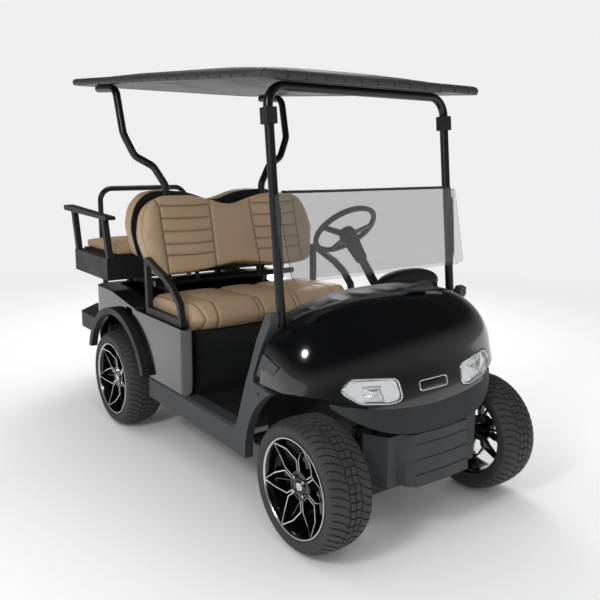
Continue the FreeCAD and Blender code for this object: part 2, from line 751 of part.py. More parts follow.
def cowl_trim():
    """The strip between cowl and dash."""
    skin = cowl_shell(1.5, COWL_WALL + 3)
    skin = skin.common(ahead_of_strip(STRIP_WIDTH)).cut(ahead_of_strip(0))
    skin = skin.cut(strut_cutter(FIT))
    return skin.cut(both_sides(box(STRIP_X + 10, 700, -300, 600, 300, 1100)))


def dash():
    """Dash top behind the strip, its face with two pockets and a binnacle hood."""
    skin = cowl_shell(0, COWL_WALL)
    top = skin.cut(ahead_of_strip(STRIP_WIDTH + FIT)).common(box(-500, 500, -200, DASH_REAR, 690, 1200))
    face = box(-450, 450, DASH_REAR - 12, DASH_REAR, DASH_BOTTOM, 1100).common(cowl_shell(-4, 330))
    hood = front_prism([(WHEEL_X - 125, 900), (WHEEL_X + 125, 900), (WHEEL_X + 96, HOOD_TOP - 8),
                        (WHEEL_X - 96, HOOD_TOP - 8)], [0, 0, 60, 60], 205, DASH_REAR - 4)
    hood = hood.cut(side_prism([(200, 960), (200, 1100), (275, 1100), (275, HOOD_TOP - 8)], 0, 0, 470))
    whole = joined([top, face, hood]).cut(strut_cutter(FIT))
    for side in (-1, 1):
        x = side * 250.0
        whole = whole.cut(box(x - 110, x + 110, DASH_REAR - 13, DASH_REAR + 1, 790, 870))
    axis = steering_axis()
    return whole.cut(rod(wheel_centre() - axis * COLUMN_LENGTH, wheel_centre(), COLUMN_RADIUS + 8))


def headlamps():
    """Lamp bowls behind the lenses, each with a round reflector."""
    behind_lens = cowl_shell(-LENS_THICK - FIT, 300)
    bowl = lamp_region(FIT, -300, LAMP_BACK).common(behind_lens)
    bowl = bowl.cut(lamp_region(4, -301, LAMP_BACK - 4))
    profile = [(0, 34), (24, 27), (43, -8), (46, -8), (27, 32), (0, 40)]
    corners = [V(x, y, 0) for x, y in profile]
    cup = Part.Face(Part.makePolygon(corners + [corners[0]])).revolve(V(0, 0, 0), V(0, 1, 0), 360)
    cup.translate(V(LAMP_X, at(LAMP_BACK) - 40, LAMP_Z))
    return both_sides(joined([bowl, cup]))


def headlamp_lenses():
    """Clear covers that carry the cowl's surface over the lamps."""
    return both_sides(cowl_shell(0, LENS_THICK).common(lamp_region(FIT, -300, 60)))


def nose_back(x, z):
    """How far behind the axle the bumper's face is at a place across and up."""
    lean = (SEAM_Z - z) / (SEAM_Z - BUMPER_LOW) * BUMPER_LEAN
    return NOSE_FRONT + NOSE_SWEEP * (abs(x) / SEAM_X) ** 3 - lean


def bumper():
    """The grey band under the cowl, which narrows to a tip at each wheel."""
    wires = []
    for z in (430.0, 610.0):
        outer = []
        inner = []
        for i in range(13):
            x = -470 + 940 * i / 12
            outer.append(V(x, at(nose_back(x, z)), z))
            inner.append(V(x, at(nose_back(x, z) + BUMPER_WALL), z))
        wires.append(band_wire(outer, inner))
    skin = Part.makeLoft(wires, True, True)
    line = []
    for i in range(13):
        x = -BUMPER_TIP + 2 * BUMPER_TIP * i / 12
        line.append(V(x, at(-600), BUMPER_LOW + BUMPER_RISE * (abs(x) / BUMPER_TIP) ** 3))
    top = []
    for i in range(13):
        x = -BUMPER_TIP + 2 * BUMPER_TIP * i / 12
        top.append(V(x, at(-600), seam_height(x) - FIT))
    edges = [spline(line), Part.LineSegment(line[-1], top[-1]).toShape(),
             spline(list(reversed(top))), Part.LineSegment(top[0], line[0]).toShape()]
    region = Part.Face(Part.Wire(edges)).extrude(V(0, 900, 0))
    return skin.common(region)


def apron_wire(front, z):
    """Plan outline of the apron at a height, its middle this far forward."""
    t = APRON_WALL
    wing = WING_BACK - t
    out = [(0, front - 8), (150, front), (178, front + 28), (192, wing), (250, wing), (300, -84)]
    back = [(296, -80), (247, WING_BACK), (188, WING_BACK), (173, front + 28 + t), (148, front + t),
            (0, front - 8 + t)]
    right = [V(x, at(b), z) for x, b in out + back]
    left = [V(-p.x, p.y, z) for p in reversed(right[1:-1])]
    ring = right[:1] + right[1:-1] + right[-1:] + left
    return Part.makePolygon(ring + [ring[0]])


def front_apron():
    """Lower front panel with a channel and a wheel guard on each side."""
    low = apron_wire(APRON_FRONT, APRON_BOTTOM)
    high = apron_wire(APRON_FRONT + APRON_LEAN, APRON_TOP)
    apron = Part.makeLoft([low, high], True, True)
    for i in range(3):
        z = GROOVE_TOP - GROOVE_PITCH * i
        front = APRON_FRONT + APRON_LEAN * (z - APRON_BOTTOM) / (APRON_TOP - APRON_BOTTOM)
        bed = [(0, front - 8 + GROOVE_DEPTH), (150, front + GROOVE_DEPTH), (150, front - 40), (-150, front - 40),
               (-150, front + GROOVE_DEPTH)]
        apron = apron.cut(plan_prism(bed, 0, z - 3, z + 3))
    return apron


def arch_liners():
    """Upright sheet on each rail that closes the wheel well towards the middle."""
    x = RAIL_X + RAIL_WIDTH / 2 - FIT
    low = RAIL_TOP + FIT
    back = TOE_BACK - 17
    outline = [(-125, low), (back, low), (back, TOE_TOP), (40, TOE_TOP), (-20, 558), (-125, 545)]
    sheet = side_prism(outline, 0, x - LINER_THICK, x)
    start, end = steering_shaft()
    t = (x - LINER_THICK / 2 - start.x) / (end.x - start.x)
    hole = start + (end - start) * t
    left = sheet.cut(Part.makeCylinder(38, 40, V(x - 20, hole.y, hole.z), V(1, 0, 0)))
    return Part.makeCompound([left, mirrored(sheet)])


# Body sides

PILLAR = [(ROCKER_FRONT - FIT, 252), (ROCKER_FRONT - FIT, 368), (430, 385), (352, 600), (332, 640), (272, 790), (206, 908),
          (176, 900), (176, 868), (235, 770), (296, 640), (300, 605), (166, 586), (100, 560),
          (100, 250)]


def front_guards():
    """Side panel from the sill up to the foot of the front strut."""
    panel = side_prism(PILLAR, 0, BODY_HALF - 40, BODY_HALF)
    panel = panel.cut(across(300, 700, 10, 275, ARCH_RADIUS))
    hollow = side_prism([(440, 262), (420, 382), (335, 610), (330, 600), (240, 580), (100, 540),
                         (100, 262)], 0, BODY_HALF - 41, BODY_HALF - PANEL_THICK)
    panel = panel.cut(hollow.cut(across(300, 700, 10, 275, ARCH_RADIUS + 10)))
    return both_sides(panel)


def rockers():
    """Sill moulding along each side, open towards the frame."""
    section = [(FLOOR_HALF, ROCKER_BOTTOM + 20), (FLOOR_HALF + 8, ROCKER_BOTTOM),
               (BODY_HALF - 6, ROCKER_BOTTOM), (BODY_HALF, ROCKER_BOTTOM + 12), (BODY_HALF, 356),
               (BODY_HALF - 10, 368), (FLOOR_HALF - 12 + FIT, 368), (FLOOR_HALF - 12 + FIT, 340),
               (BODY_HALF - 22, 340), (BODY_HALF - 14, 330), (BODY_HALF - 14, ROCKER_BOTTOM + 14),
               (FLOOR_HALF + 14, ROCKER_BOTTOM + 14), (FLOOR_HALF + 12, ROCKER_BOTTOM + 30)]
    sill = front_prism(section, 0, ROCKER_FRONT, ROCKER_REAR)
    return both_sides(sill)


def rear_arch(radius, x0, x1):
    return across(x0, x1, WHEELBASE, TYRE_RADIUS, radius)


def side_panels():
    """Gloss panel below the seat, its front corner and top edge turned in."""
    x = BODY_HALF
    t = PANEL_THICK
    inner = FLOOR_HALF + FIT
    block = plan_prism([(x, PANEL_REAR), (x, PANEL_FRONT), (inner, PANEL_FRONT), (inner, PANEL_REAR)],
                       [0, 50, 0, 0], 368 + FIT, PANEL_TOP)
    hollow = plan_prism([(x - t, PANEL_REAR + 1), (x - t, PANEL_FRONT + t), (inner - 1, PANEL_FRONT + t),
                         (inner - 1, PANEL_REAR + 1)], [0, 40, 0, 0], 368, PANEL_TOP - 8)
    panel = block.cut(hollow).cut(rear_arch(REAR_ARCH + FLARE_BAND + FIT, 400, 700))
    corner = [(400, 300), (FLOOR_HALF + 2, 440), (BODY_HALF - 20, 360), (BODY_HALF - 20, 300)]
    return both_sides(panel.cut(front_prism(corner, 0, 800, PANEL_FRONT + 15)))


def rear_flares():
    """Matte wheel arch lip round each rear wheel."""
    ring = rear_arch(REAR_ARCH + FLARE_BAND, BODY_HALF + FIT, BODY_HALF + FLARE_WIDTH)
    ring = ring.cut(rear_arch(REAR_ARCH, 400, 700))
    ring = ring.cut(box(400, 700, WHEELBASE - 500, WHEELBASE + 500, -200, 370))
    return both_sides(ring)


def rear_body():
    """Body over the rear wheels with the open bag well in its top."""
    z0 = 380.0
    t = BODY_WALL
    outline = [(-BODY_HALF, PANEL_REAR + FIT), (BODY_HALF, PANEL_REAR + FIT),
               (BODY_HALF, BODY_REAR), (-BODY_HALF, BODY_REAR)]
    top = [(PANEL_REAR, z0), (PANEL_REAR, PANEL_TOP + 4), (WHEELBASE + 88, BODY_TOP), (BODY_REAR + 1, BODY_TOP),
           (BODY_REAR + 1, z0)]
    outside = side_prism(top, 0, -BODY_HALF - 1, BODY_HALF + 1)
    inside = side_prism([(b, z - t) for b, z in top], 0, -BODY_HALF, BODY_HALF)
    shell = plan_prism(outline, [0, 0, 90, 90], z0, BODY_TOP).common(outside)
    inner = [(-BODY_HALF + t, PANEL_REAR + t), (BODY_HALF - t, PANEL_REAR + t),
             (BODY_HALF - t, BODY_REAR - t), (-BODY_HALF + t, BODY_REAR - t)]
    shell = shell.cut(plan_prism(inner, [0, 0, 80, 80], z0 - 1, BODY_TOP - t).common(inside))
    well = [(-430, PANEL_REAR + 45), (430, PANEL_REAR + 45), (430, BODY_REAR - 50), (-430, BODY_REAR - 50)]
    shell = shell.cut(plan_prism(well, 50, 500, BODY_TOP + 1))
    cup_in = plan_prism(well, 50, 560, BODY_TOP)
    grown = [(-438, PANEL_REAR + 37), (438, PANEL_REAR + 37), (438, BODY_REAR - 42), (-438, BODY_REAR - 42)]
    cup = plan_prism(grown, 58, 552, BODY_TOP).common(inside).cut(cup_in)
    shell = shell.fuse(cup)
    for side in (-1, 1):
        shell = shell.cut(rear_arch(REAR_ARCH, min(side * 440, side * 700), max(side * 440, side * 700)))
        cutter = rear_arch(300, min(side * 380, side * 445), max(side * 380, side * 445))
        shell = shell.cut(cutter)
        scoop = [(WHEELBASE - 192, 652), (WHEELBASE - 112, 657), (WHEELBASE - 104, 692), (WHEELBASE - 184, 690)]
        shell = shell.cut(side_prism(scoop, 15, min(side * 520, side * 600), max(side * 520, side * 600)))
    rail = RAIL_X + RAIL_WIDTH / 2 + FIT
    notch = box(-rail, rail, PANEL_REAR, BODY_REAR + 1, z0 - 1, RAIL_TOP + RAIL_KICK + FIT)
    return shell.cut(notch).removeSplitter()


def seat_base():
    """Black box under the front seat, open at the top over the battery."""
    z0 = RAIL_TOP + JOIST
    outer = box(-FLOOR_HALF, FLOOR_HALF, SEAT_FRONT, PANEL_REAR, z0, SEAT_BASE_TOP)
    inner = box(-FLOOR_HALF + 10, FLOOR_HALF - 10, SEAT_FRONT + 10, PANEL_REAR + 1, z0 - 1, SEAT_BASE_TOP + 1)
    walls = outer.cut(inner)
    for side in (-1, 1):
        flange = side * FLOOR_HALF
        walls = walls.cut(rear_arch(REAR_ARCH + 5, flange - 120, flange + 120))
        notch = box(flange - 14, flange + 14, SEAT_FRONT - 1, ROCKER_REAR + 1, z0 - 1, 368 + FIT)
        walls = walls.cut(notch)
    return walls.removeSplitter()


# Front seat

def seat_pan():
    """Stiff base of the seat cushion."""
    return box(-SEAT_HALF + 8, SEAT_HALF - 8, SEAT_FRONT + 4, SEAT_REAR, SEAT_BASE_TOP + FIT,
               SEAT_BASE_TOP + PAN_THICK)


def front_seat_cushion():
    """One wide seat cushion with a rounded front lip."""
    low = SEAT_BASE_TOP + PAN_THICK + FIT
    line = [(SEAT_FRONT - 4, low), (SEAT_REAR, low), (SEAT_REAR, CUSHION_TOP - 18),
            (SEAT_FRONT + 210, CUSHION_TOP - 6), (SEAT_FRONT + 60, CUSHION_TOP), (SEAT_FRONT - 4, CUSHION_TOP - 30)]
    return side_prism(line, [30, 20, 40, 0, 60, 50], -SEAT_HALF, SEAT_HALF)


def hip_restraints():
    """Side loop beside the seat: rear post, sloping arm and bottom bar."""
    foot = PANEL_TOP + FIT
    b = SEAT_REAR
    outer = [(b - 43, foot), (b - 32, 975), (b - 55, 985), (b - 253, 918), (b - 345, 868), (b - 417, 800),
             (b - 436, foot)]
    inner = [(b - 70, 728), (b - 63, 938), (b - 84, 948), (b - 247, 889), (b - 328, 845), (b - 390, 788),
             (b - 404, 728)]
    x0 = RESTRAINT_X - RESTRAINT_THICK / 2
    loop = side_prism(outer, [8, 8, 8, 0, 0, 30, 8], x0, x0 + RESTRAINT_THICK)
    hole = side_prism(inner, [14, 8, 8, 0, 0, 24, 14], x0 - 1, x0 + RESTRAINT_THICK + 1)
    return both_sides(loop.cut(hole))


def back_outline(half, low, high, b):
    """Front outline of a backrest with a hump for each person."""
    right = [(half * 0.5, low), (half * 0.9, low), (half, (low + high) / 2), (half * 0.9, high),
             (half * 0.36, high - 6)]
    radii = [200, 70, 220, 150, 400]
    points = [(0, low + BACK_ARCH)] + right + [(0, high - BACK_DIP)] + [(-x, z) for x, z in reversed(right)]
    corners = [V(x, at(b), z) for x, z in points]
    return Part.Wire(rounded_path(corners, [200] + radii + [200] + radii[::-1], True))


def backrest_slab(half, low, high, b0, b1):
    """A backrest's outline carried from b0 back to b1."""
    face = Part.Face(back_outline(half, low, high, b0))
    return face.extrude(V(0, b1 - b0, 0))


def reclined(shape, back, degrees):
    shape.rotate(V(0, at(back), BACK_BOTTOM), V(1, 0, 0), -degrees)
    return shape


def front_backrest():
    slab = backrest_slab(BACK_HALF, BACK_BOTTOM, BACK_TOP + 14, BACK_FRONT, BACK_FRONT + BACK_THICK)
    return reclined(slab, BACK_FRONT, BACK_RECLINE)


def rear_backrest():
    slab = backrest_slab(REAR_BACK_HALF, BACK_BOTTOM + 30, BACK_TOP + 14, REAR_BACK_FACE - BACK_THICK,
                         REAR_BACK_FACE)
    return reclined(slab, REAR_BACK_FACE, -REAR_RECLINE)


def backrest_shells():
    """The stiff black backs of both backrests."""
    front = backrest_slab(BACK_HALF + 4, BACK_BOTTOM - 4, BACK_TOP + 18, BACK_FRONT + BACK_THICK + FIT,
                          BACK_FRONT + BACK_THICK + SHELL_THICK)
    front = reclined(front, BACK_FRONT, BACK_RECLINE)
    start = REAR_BACK_FACE - BACK_THICK
    rear = backrest_slab(REAR_BACK_HALF + 4, BACK_BOTTOM + 26, BACK_TOP + 18, start - SHELL_THICK, start - FIT)
    rear = reclined(rear, REAR_BACK_FACE, -REAR_RECLINE)
    pad = both_sides(box(290, 330, REAR_SHELL_FRONT, start - 12, 1000, 1060))
    rear = rear.fuse(pad.Solids).removeSplitter()
    return Part.makeCompound([front, rear])


def backrest_frame():
    """Bar behind the seat, tied to the struts, with an upright behind each back."""
    lean = math.tan(math.radians(BACK_RECLINE))
    behind = BACK_FRONT + (BACK_THICK + SHELL_THICK + 12 + FIT) / math.cos(math.radians(BACK_RECLINE))
    pieces = [across(-450, 450, BAR_BACK, BAR_Z, BAR_RADIUS)]
    for side in (-1, 1):
        strut_face = REAR_STRUT_BACK - REAR_STRUT_RADIUS - 0.5
        pieces.append(box(side * 310 - 14, side * 310 + 14, BAR_BACK, strut_face, BAR_Z - 12, BAR_Z + 12))
        low = V(side * 200, at(behind + (BAR_Z - BACK_BOTTOM) * lean), BAR_Z)
        high = V(side * 200, at(behind + (1150 - BACK_BOTTOM) * lean), 1150)
        pieces.append(rod(low, high, 12))
    return joined(pieces)


# Front frame, windshield and roof

def front_frame():
    """One hoop of tube: both front struts and the bar under the roof."""
    low = SOCKET_TOP - 12
    points = [V(STRUT_X, at(strut_back(low)), low),
              V(STRUT_X, at(strut_back(CROSS_Z)), CROSS_Z),
              V(-STRUT_X, at(strut_back(CROSS_Z)), CROSS_Z),
              V(-STRUT_X, at(strut_back(low)), low)]
    hoop = tube(points, STRUT_BEND, STRUT_RADIUS)
    return hoop.cut(box(-700, 700, 0, 600, 0, SOCKET_TOP))


def leaning_pane(top_back, bottom_back, half_top, half_bottom):
    """A flat pane with rounded corners between two heights."""
    corners = [V(-half_bottom, at(bottom_back), PANE_BOTTOM), V(half_bottom, at(bottom_back), PANE_BOTTOM),
               V(half_top, at(top_back), PANE_TOP), V(-half_top, at(top_back), PANE_TOP)]
    face = Part.Face(Part.Wire(rounded_path(corners, [40, 40, 12, 12], True)))
    normal = (corners[1] - corners[0]).cross(corners[2] - corners[1]).normalize()
    return face.extrude(normal * -PANE)


def windshield():
    """Two panes: one held to the struts, the other folded down in front of it."""
    rear = leaning_pane(strut_back(PANE_TOP) - PANE_GAP, strut_back(PANE_BOTTOM) - PANE_GAP, PANE_HALF,
                        PANE_HALF - 10)
    front = leaning_pane(strut_back(PANE_TOP) - PANE_GAP - 14, FOLDED_BACK, PANE_HALF, PANE_HALF - 14)
    return Part.makeCompound([rear, front])


def windshield_clips():
    """Blocks on the struts that hold the panes, up and folded."""
    pieces = []
    reach = PANE_GAP * 0.993 - PANE - FIT
    for z0, z1, wide, ahead, behind in ((1622, 1684, 24, 24, 24), (1061, 1317, 9, reach, 0)):
        low = V(STRUT_X, at(strut_back(z0)), z0)
        high = V(STRUT_X, at(strut_back(z1)), z1)
        axis = (high - low).normalize()
        aside = V(1, 0, 0)
        rearward = axis.cross(aside)
        corners = []
        for u, w in ((-wide, -ahead), (wide, -ahead), (wide, behind), (-wide, behind)):
            corners.append(low + aside * u + rearward * w)
        block = Part.Face(Part.makePolygon(corners + [corners[0]])).extrude(high - low)
        pieces.append(block.cut(rod(low - axis * 20, high + axis * 20, STRUT_RADIUS + FIT)))
    front = strut_back(PANE_TOP) - PANE_GAP - 14
    pieces.append(box(0, STRUT_X - 24, front - 4, front + 26, PANE_TOP + FIT, PANE_TOP + 10))
    left = Part.makeCompound(pieces)
    right = mirrored(left)
    hinge = pieces[-1].fuse(mirrored(pieces[-1])).removeSplitter()
    return Part.makeCompound(pieces[:-1] + right.Solids[:-1] + [hinge])


def roof_section(back, low, edge, crown, inset):
    """A cross section of the roof: side edges and a crowned top."""
    half = ROOF_HALF - inset
    rise = low + edge - inset
    points = []
    for i in range(9):
        x = -half + 2 * half * i / 8
        points.append(V(x, at(back), rise + crown * (1 - abs(x / half) ** 3)))
    edges = [spline(points),
             Part.LineSegment(points[-1], V(half, at(back), low)).toShape(),
             Part.LineSegment(V(half, at(back), low), V(-half, at(back), low)).toShape(),
             Part.LineSegment(V(-half, at(back), low), points[0]).toShape()]
    return Part.Wire(edges)


def roof_low(back):
    """Height of the roof's lower edge at a place along it."""
    return ROOF_FRONT_Z + (ROOF_REAR_Z - ROOF_FRONT_Z) * (back - ROOF_FRONT) / (ROOF_REAR - ROOF_FRONT)


def roof_solid(inset, drop):
    """The roof as a closed form, drawn in by inset."""
    wires = []
    length = ROOF_REAR - ROOF_FRONT
    for share, crown in ((0, 4), (0.07, 26), (0.3, ROOF_CROWN), (0.7, ROOF_CROWN), (0.93, 26), (1, 4)):
        back = ROOF_FRONT + inset + (length - 2 * inset) * share
        wires.append(roof_section(back, roof_low(back) - drop, ROOF_EDGE + drop, crown, inset))
    return Part.makeLoft(wires, True, False)


def roof_corners(inset):
    """What the rounded corners take off the roof's plan, drawn in by inset."""
    radius = ROOF_CORNER - inset
    x = ROOF_HALF - inset - radius
    pieces = []
    for back, away in ((ROOF_FRONT + inset + radius, -1), (ROOF_REAR - inset - radius, 1)):
        ends = sorted((back, back + away * (radius + 20)))
        corner = box(x, x + radius + 20, ends[0], ends[1], 1700, 2100)
        corner = corner.cut(Part.makeCylinder(radius, 400, V(x, at(back), 1700)))
        pieces += [corner, mirrored(corner)]
    return Part.makeCompound(pieces)


def roof():
    """Moulded roof skin with a turned-down edge all round."""
    outer = roof_solid(0, 0).cut(roof_corners(0))
    inner = roof_solid(ROOF_WALL, 5).cut(roof_corners(ROOF_WALL))
    return outer.cut(inner)


def roof_liner():
    """The flat panel that closes the roof from below."""
    inset = ROOF_WALL + FIT
    corners = [(-ROOF_HALF + inset, ROOF_FRONT + inset), (ROOF_HALF - inset, ROOF_FRONT + inset),
               (ROOF_HALF - inset, ROOF_REAR - inset), (-ROOF_HALF + inset, ROOF_REAR - inset)]
    face_points = [V(x, at(b), roof_low(b) + LINER_LIFT) for x, b in corners]
    face = Part.Face(Part.makePolygon(face_points + [face_points[0]]))
    return face.extrude(V(0, 0, LINER_THICK)).cut(roof_corners(inset))


def rear_strut_path():
    """Corner points of the right rear strut, from the body up to the roof."""
    under = LINER_LIFT - REAR_STRUT_RADIUS - 0.5
    b = REAR_STRUT_BACK
    return [V(310, at(b), 560 + FIT), V(310, at(b), 1330), V(372, at(b + 14), 1432), V(468, at(b + 32), 1485),
            V(521, at(b + 48), 1600), V(528, at(b + 110), roof_low(b + 110) + under),
            V(530, at(b + 342), roof_low(b + 342) + under)]


def rear_struts():
    strut = tube(rear_strut_path(), [0, 60, 60, 70, 90, 60, 0], REAR_STRUT_RADIUS)
    plate = box(290, 330, REAR_STRUT_BACK, REAR_SHELL_FRONT - FIT, 1000, 1060)
    return both_sides(joined([strut, plate]))


# Rear seat

def rear_tray():
    """Open box under the rear cushion."""
    outer = box(-TRAY_HALF, TRAY_HALF, TRAY_FRONT, TRAY_REAR, TRAY_BOTTOM, TRAY_TOP)
    t = TRAY_WALL
    inner = box(-TRAY_HALF + t, TRAY_HALF - t, TRAY_FRONT + t, TRAY_REAR - t, TRAY_BOTTOM + t, TRAY_TOP + 1)
    ledge = both_sides(box(REAR_SEAT_HALF, TRAY_HALF - t, TRAY_FRONT, TRAY_REAR, TRAY_TOP - 14, TRAY_TOP))
    return outer.cut(inner).fuse(ledge.Solids).removeSplitter()


def rear_seat_pan():
    """Stiff lid that closes the tray and carries the rear cushion."""
    half = TRAY_HALF - REST_WIDTH - RUNNING
    return box(-half, half, TRAY_FRONT + 16, TRAY_REAR - 4, TRAY_TOP + FIT, TRAY_TOP + PAN_THICK)


def rear_seat_cushion():
    low = TRAY_TOP + PAN_THICK + FIT
    line = [(TRAY_FRONT + 20, low), (TRAY_REAR - 8, low), (TRAY_REAR - 8, REAR_CUSHION_TOP),
            (TRAY_FRONT + 20, REAR_CUSHION_TOP)]
    return side_prism(line, [15, 20, 35, 25], -REAR_SEAT_HALF, REAR_SEAT_HALF)


def rear_armrests():
    """Pad on two posts that stand on the tray's side."""
    x0 = TRAY_HALF - 32
    x1 = TRAY_HALF
    low = TRAY_TOP + FIT
    high = REST_TOP - 5
    f = TRAY_FRONT
    r = TRAY_REAR
    front_post = side_prism([(f + 15, low), (f - 20, low), (f + 37, high), (f + 70, high)], 0, x0, x1)
    rear_post = side_prism([(r - 15, low), (r - 50, low), (r + 2, high), (r + 38, high)], 0, x0, x1)
    pad = side_prism([(f - 22, REST_TOP - 20), (r + 152, REST_TOP - 8), (r + 152, REST_TOP + 24), (f - 22, REST_TOP)],
                     [8, 14, 14, 8], TRAY_HALF - REST_WIDTH, TRAY_HALF + 6)
    return both_sides(joined([front_post, rear_post, pad]))


def footrest():
    """Deep foot platform behind the body with cut corners and a raised tread field."""
    cut = VEHICLE_REAR - 176
    plan = [(-FOOT_HALF, FOOT_FRONT), (FOOT_HALF, FOOT_FRONT), (FOOT_HALF, cut), (350, VEHICLE_REAR),
            (-350, VEHICLE_REAR), (-FOOT_HALF, cut)]
    slab = plan_prism(plan, [10, 10, 60, 60, 60, 60], FOOT_TOP - FOOT_THICK, FOOT_TOP)
    inner = [(-FOOT_HALF + 12, FOOT_FRONT - 1), (FOOT_HALF - 12, FOOT_FRONT - 1), (FOOT_HALF - 12, cut - 5),
             (345, VEHICLE_REAR - 12), (-345, VEHICLE_REAR - 12), (-FOOT_HALF + 12, cut - 5)]
    slab = slab.cut(plan_prism(inner, [0, 0, 50, 50, 50, 50], FOOT_TOP - FOOT_THICK - 1, FOOT_TOP - 12))
    side = HOOP_X - HOOP_RADIUS - 14
    field = plan_prism([(-side, FOOT_FRONT + 22), (side, FOOT_FRONT + 22), (side, HOOP_BACK), (-side, HOOP_BACK)],
                       18, FOOT_TOP - 1, FOOT_TOP + TREAD_LIFT)
    return joined([slab, field])


def grab_hoop():
    """Handrail that stands on the footrest behind the rear seat."""
    x = HOOP_X
    low = FOOT_TOP + FIT
    foot = V(x, at(HOOP_BACK - 52), low - 12)
    points = [foot, V(x, at(HOOP_BACK), 900), V(x, at(HOOP_BACK), HOOP_TOP), V(-x, at(HOOP_BACK), HOOP_TOP),
              V(-x, at(HOOP_BACK), 900), V(-x, foot.y, foot.z)]
    bends = [0, 90, HOOP_BEND, HOOP_BEND, 90, 0]
    return tube(points, bends, HOOP_RADIUS).cut(box(-x - 40, x + 40, HOOP_BACK - 120, HOOP_BACK + 80, 0, low))


def rear_seat_frame():
    """Arms under the tray, posts down to the chassis and arms for the footrest."""
    pieces = []
    beam = RAIL_TOP + RAIL_KICK + FIT
    tray = TRAY_BOTTOM - FIT
    post = RAIL_REAR - 60
    pieces.append(box(-HOOP_X - 15, HOOP_X + 15, post, post + 40, beam, beam + 40))
    for side in (-1, 1):
        x = side * HOOP_X
        pieces.append(box(x - 15, x + 15, REAR_STRUT_BACK + REAR_STRUT_RADIUS + 0.5, post + 40,
                          tray - 36, tray))
        pieces.append(box(x - 15, x + 15, post, post + 40, beam, tray))
        pieces.append(box(x - 15, x + 15, post + 20, HOOP_BACK - 20, FOOT_TOP - 52, FOOT_TOP - 12 - FIT))
    pieces.append(box(-HOOP_X, HOOP_X, HOOP_BACK - 60, HOOP_BACK - 20, FOOT_TOP - 52, FOOT_TOP - 12 - FIT))
    return joined(pieces)


PARTS = {
    "chassis_frame": chassis_frame,
    "floor_pan": floor_pan,
    "floor_mat": floor_mat,
    "rockers": rockers,
    "front_guards": front_guards,
    "front_cowl": front_cowl,
    "cowl_trim": cowl_trim,
    "dash": dash,
    "bumper": bumper,
    "front_apron": front_apron,
    "arch_liners": arch_liners,
    "headlamps": headlamps,
    "headlamp_lenses": headlamp_lenses,
    "rear_body": rear_body,
    "rear_flares": rear_flares,
    "side_panels": side_panels,
    "seat_base": seat_base,
    "battery_pack": battery_pack,
    "rear_axle": rear_axle,
    "leaf_springs": leaf_springs,
    "front_suspension": front_suspension,
    "front_shocks": front_shocks,
    "steering_rack": steering_rack,
    "steering_column": steering_column,
    "steering_wheel": steering_wheel,
    "pedals": pedals,
    "front_frame": front_frame,
    "windshield": windshield,
    "windshield_clips": windshield_clips,
    "roof": roof,
    "roof_liner": roof_liner,
    "rear_struts": rear_struts,
    "front_backrest": front_backrest,
    "rear_backrest": rear_backrest,
    "backrest_shells": backrest_shells,
    "backrest_frame": backrest_frame,
    "seat_pan": seat_pan,
    "front_seat_cushion": front_seat_cushion,
    "hip_restraints": hip_restraints,
    "rear_tray": rear_tray,
    "rear_seat_pan": rear_seat_pan,
    "rear_seat_cushion": rear_seat_cushion,
    "rear_armrests": rear_armrests,
    "footrest": footrest,
    "rear_seat_frame": rear_seat_frame,
    "grab_hoop": grab_hoop,
}


def wheels():
    """Knuckles, tyres and rims, with names for each corner."""
    shapes = {}
    right = knuckle()
    shapes["knuckle_left"] = right
    shapes["knuckle_right"] = mirrored(right)
    for row, back, face_x in (("front", 0.0, FRONT_FACE), ("rear", WHEELBASE, REAR_FACE)):
        one_tyre = tyre(face_x)
        one_rim = rim(face_x)
        for side, left in (("left", True), ("right", False)):
            shapes["tyre_%s_%s" % (row, side)] = placed_wheel(one_tyre, back, left)
            shapes["rim_%s_%s" % (row, side)] = placed_wheel(one_rim, back, left)
    return shapes


os.makedirs("parts", exist_ok=True)
for node, make in PARTS.items():
    shape = make()
    print(node, shape.isValid(), len(shape.Solids), round(shape.Volume / 1e6, 3))
    shape.exportStep("parts/%s.step" % node)
for node, shape in wheels().items():
    print(node, shape.isValid(), len(shape.Solids), round(shape.Volume / 1e6, 3))
    shape.exportStep("parts/%s.step" % node)
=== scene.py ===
# %% [markdown]
# # A golf cart around its fixed frame
# The CAD model gives every place and size. This script gives each part its surface and finish,
# and swaps the plain solids for moulded, stuffed and cast forms where the eye expects them.

# %% Load the frame
import math
import bpy
import numpy as np
from mathutils import Matrix, Vector
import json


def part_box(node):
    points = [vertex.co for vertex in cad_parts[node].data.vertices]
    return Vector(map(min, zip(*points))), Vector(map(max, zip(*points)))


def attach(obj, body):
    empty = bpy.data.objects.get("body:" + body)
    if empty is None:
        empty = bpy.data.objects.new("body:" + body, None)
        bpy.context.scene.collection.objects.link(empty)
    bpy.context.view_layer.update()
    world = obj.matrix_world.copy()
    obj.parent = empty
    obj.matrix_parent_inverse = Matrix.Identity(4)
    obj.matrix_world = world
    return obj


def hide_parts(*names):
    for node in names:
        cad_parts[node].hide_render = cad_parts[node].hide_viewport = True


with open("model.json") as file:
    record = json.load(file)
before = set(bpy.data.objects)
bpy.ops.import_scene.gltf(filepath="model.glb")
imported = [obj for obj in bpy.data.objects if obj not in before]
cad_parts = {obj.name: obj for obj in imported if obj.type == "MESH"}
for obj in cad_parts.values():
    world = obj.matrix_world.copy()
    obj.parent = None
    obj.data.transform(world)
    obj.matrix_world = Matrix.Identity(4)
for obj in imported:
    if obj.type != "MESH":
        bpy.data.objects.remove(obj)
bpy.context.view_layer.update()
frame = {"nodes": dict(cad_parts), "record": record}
nodes = frame["nodes"]
print("frame loaded with", len(nodes), "nodes")

MM = 0.001
AXLE_TO_ORIGIN = 1143.0


def along(back):
    """Y in metres of a place this many millimetres behind the front axle."""
    return (back - AXLE_TO_ORIGIN) / 1000


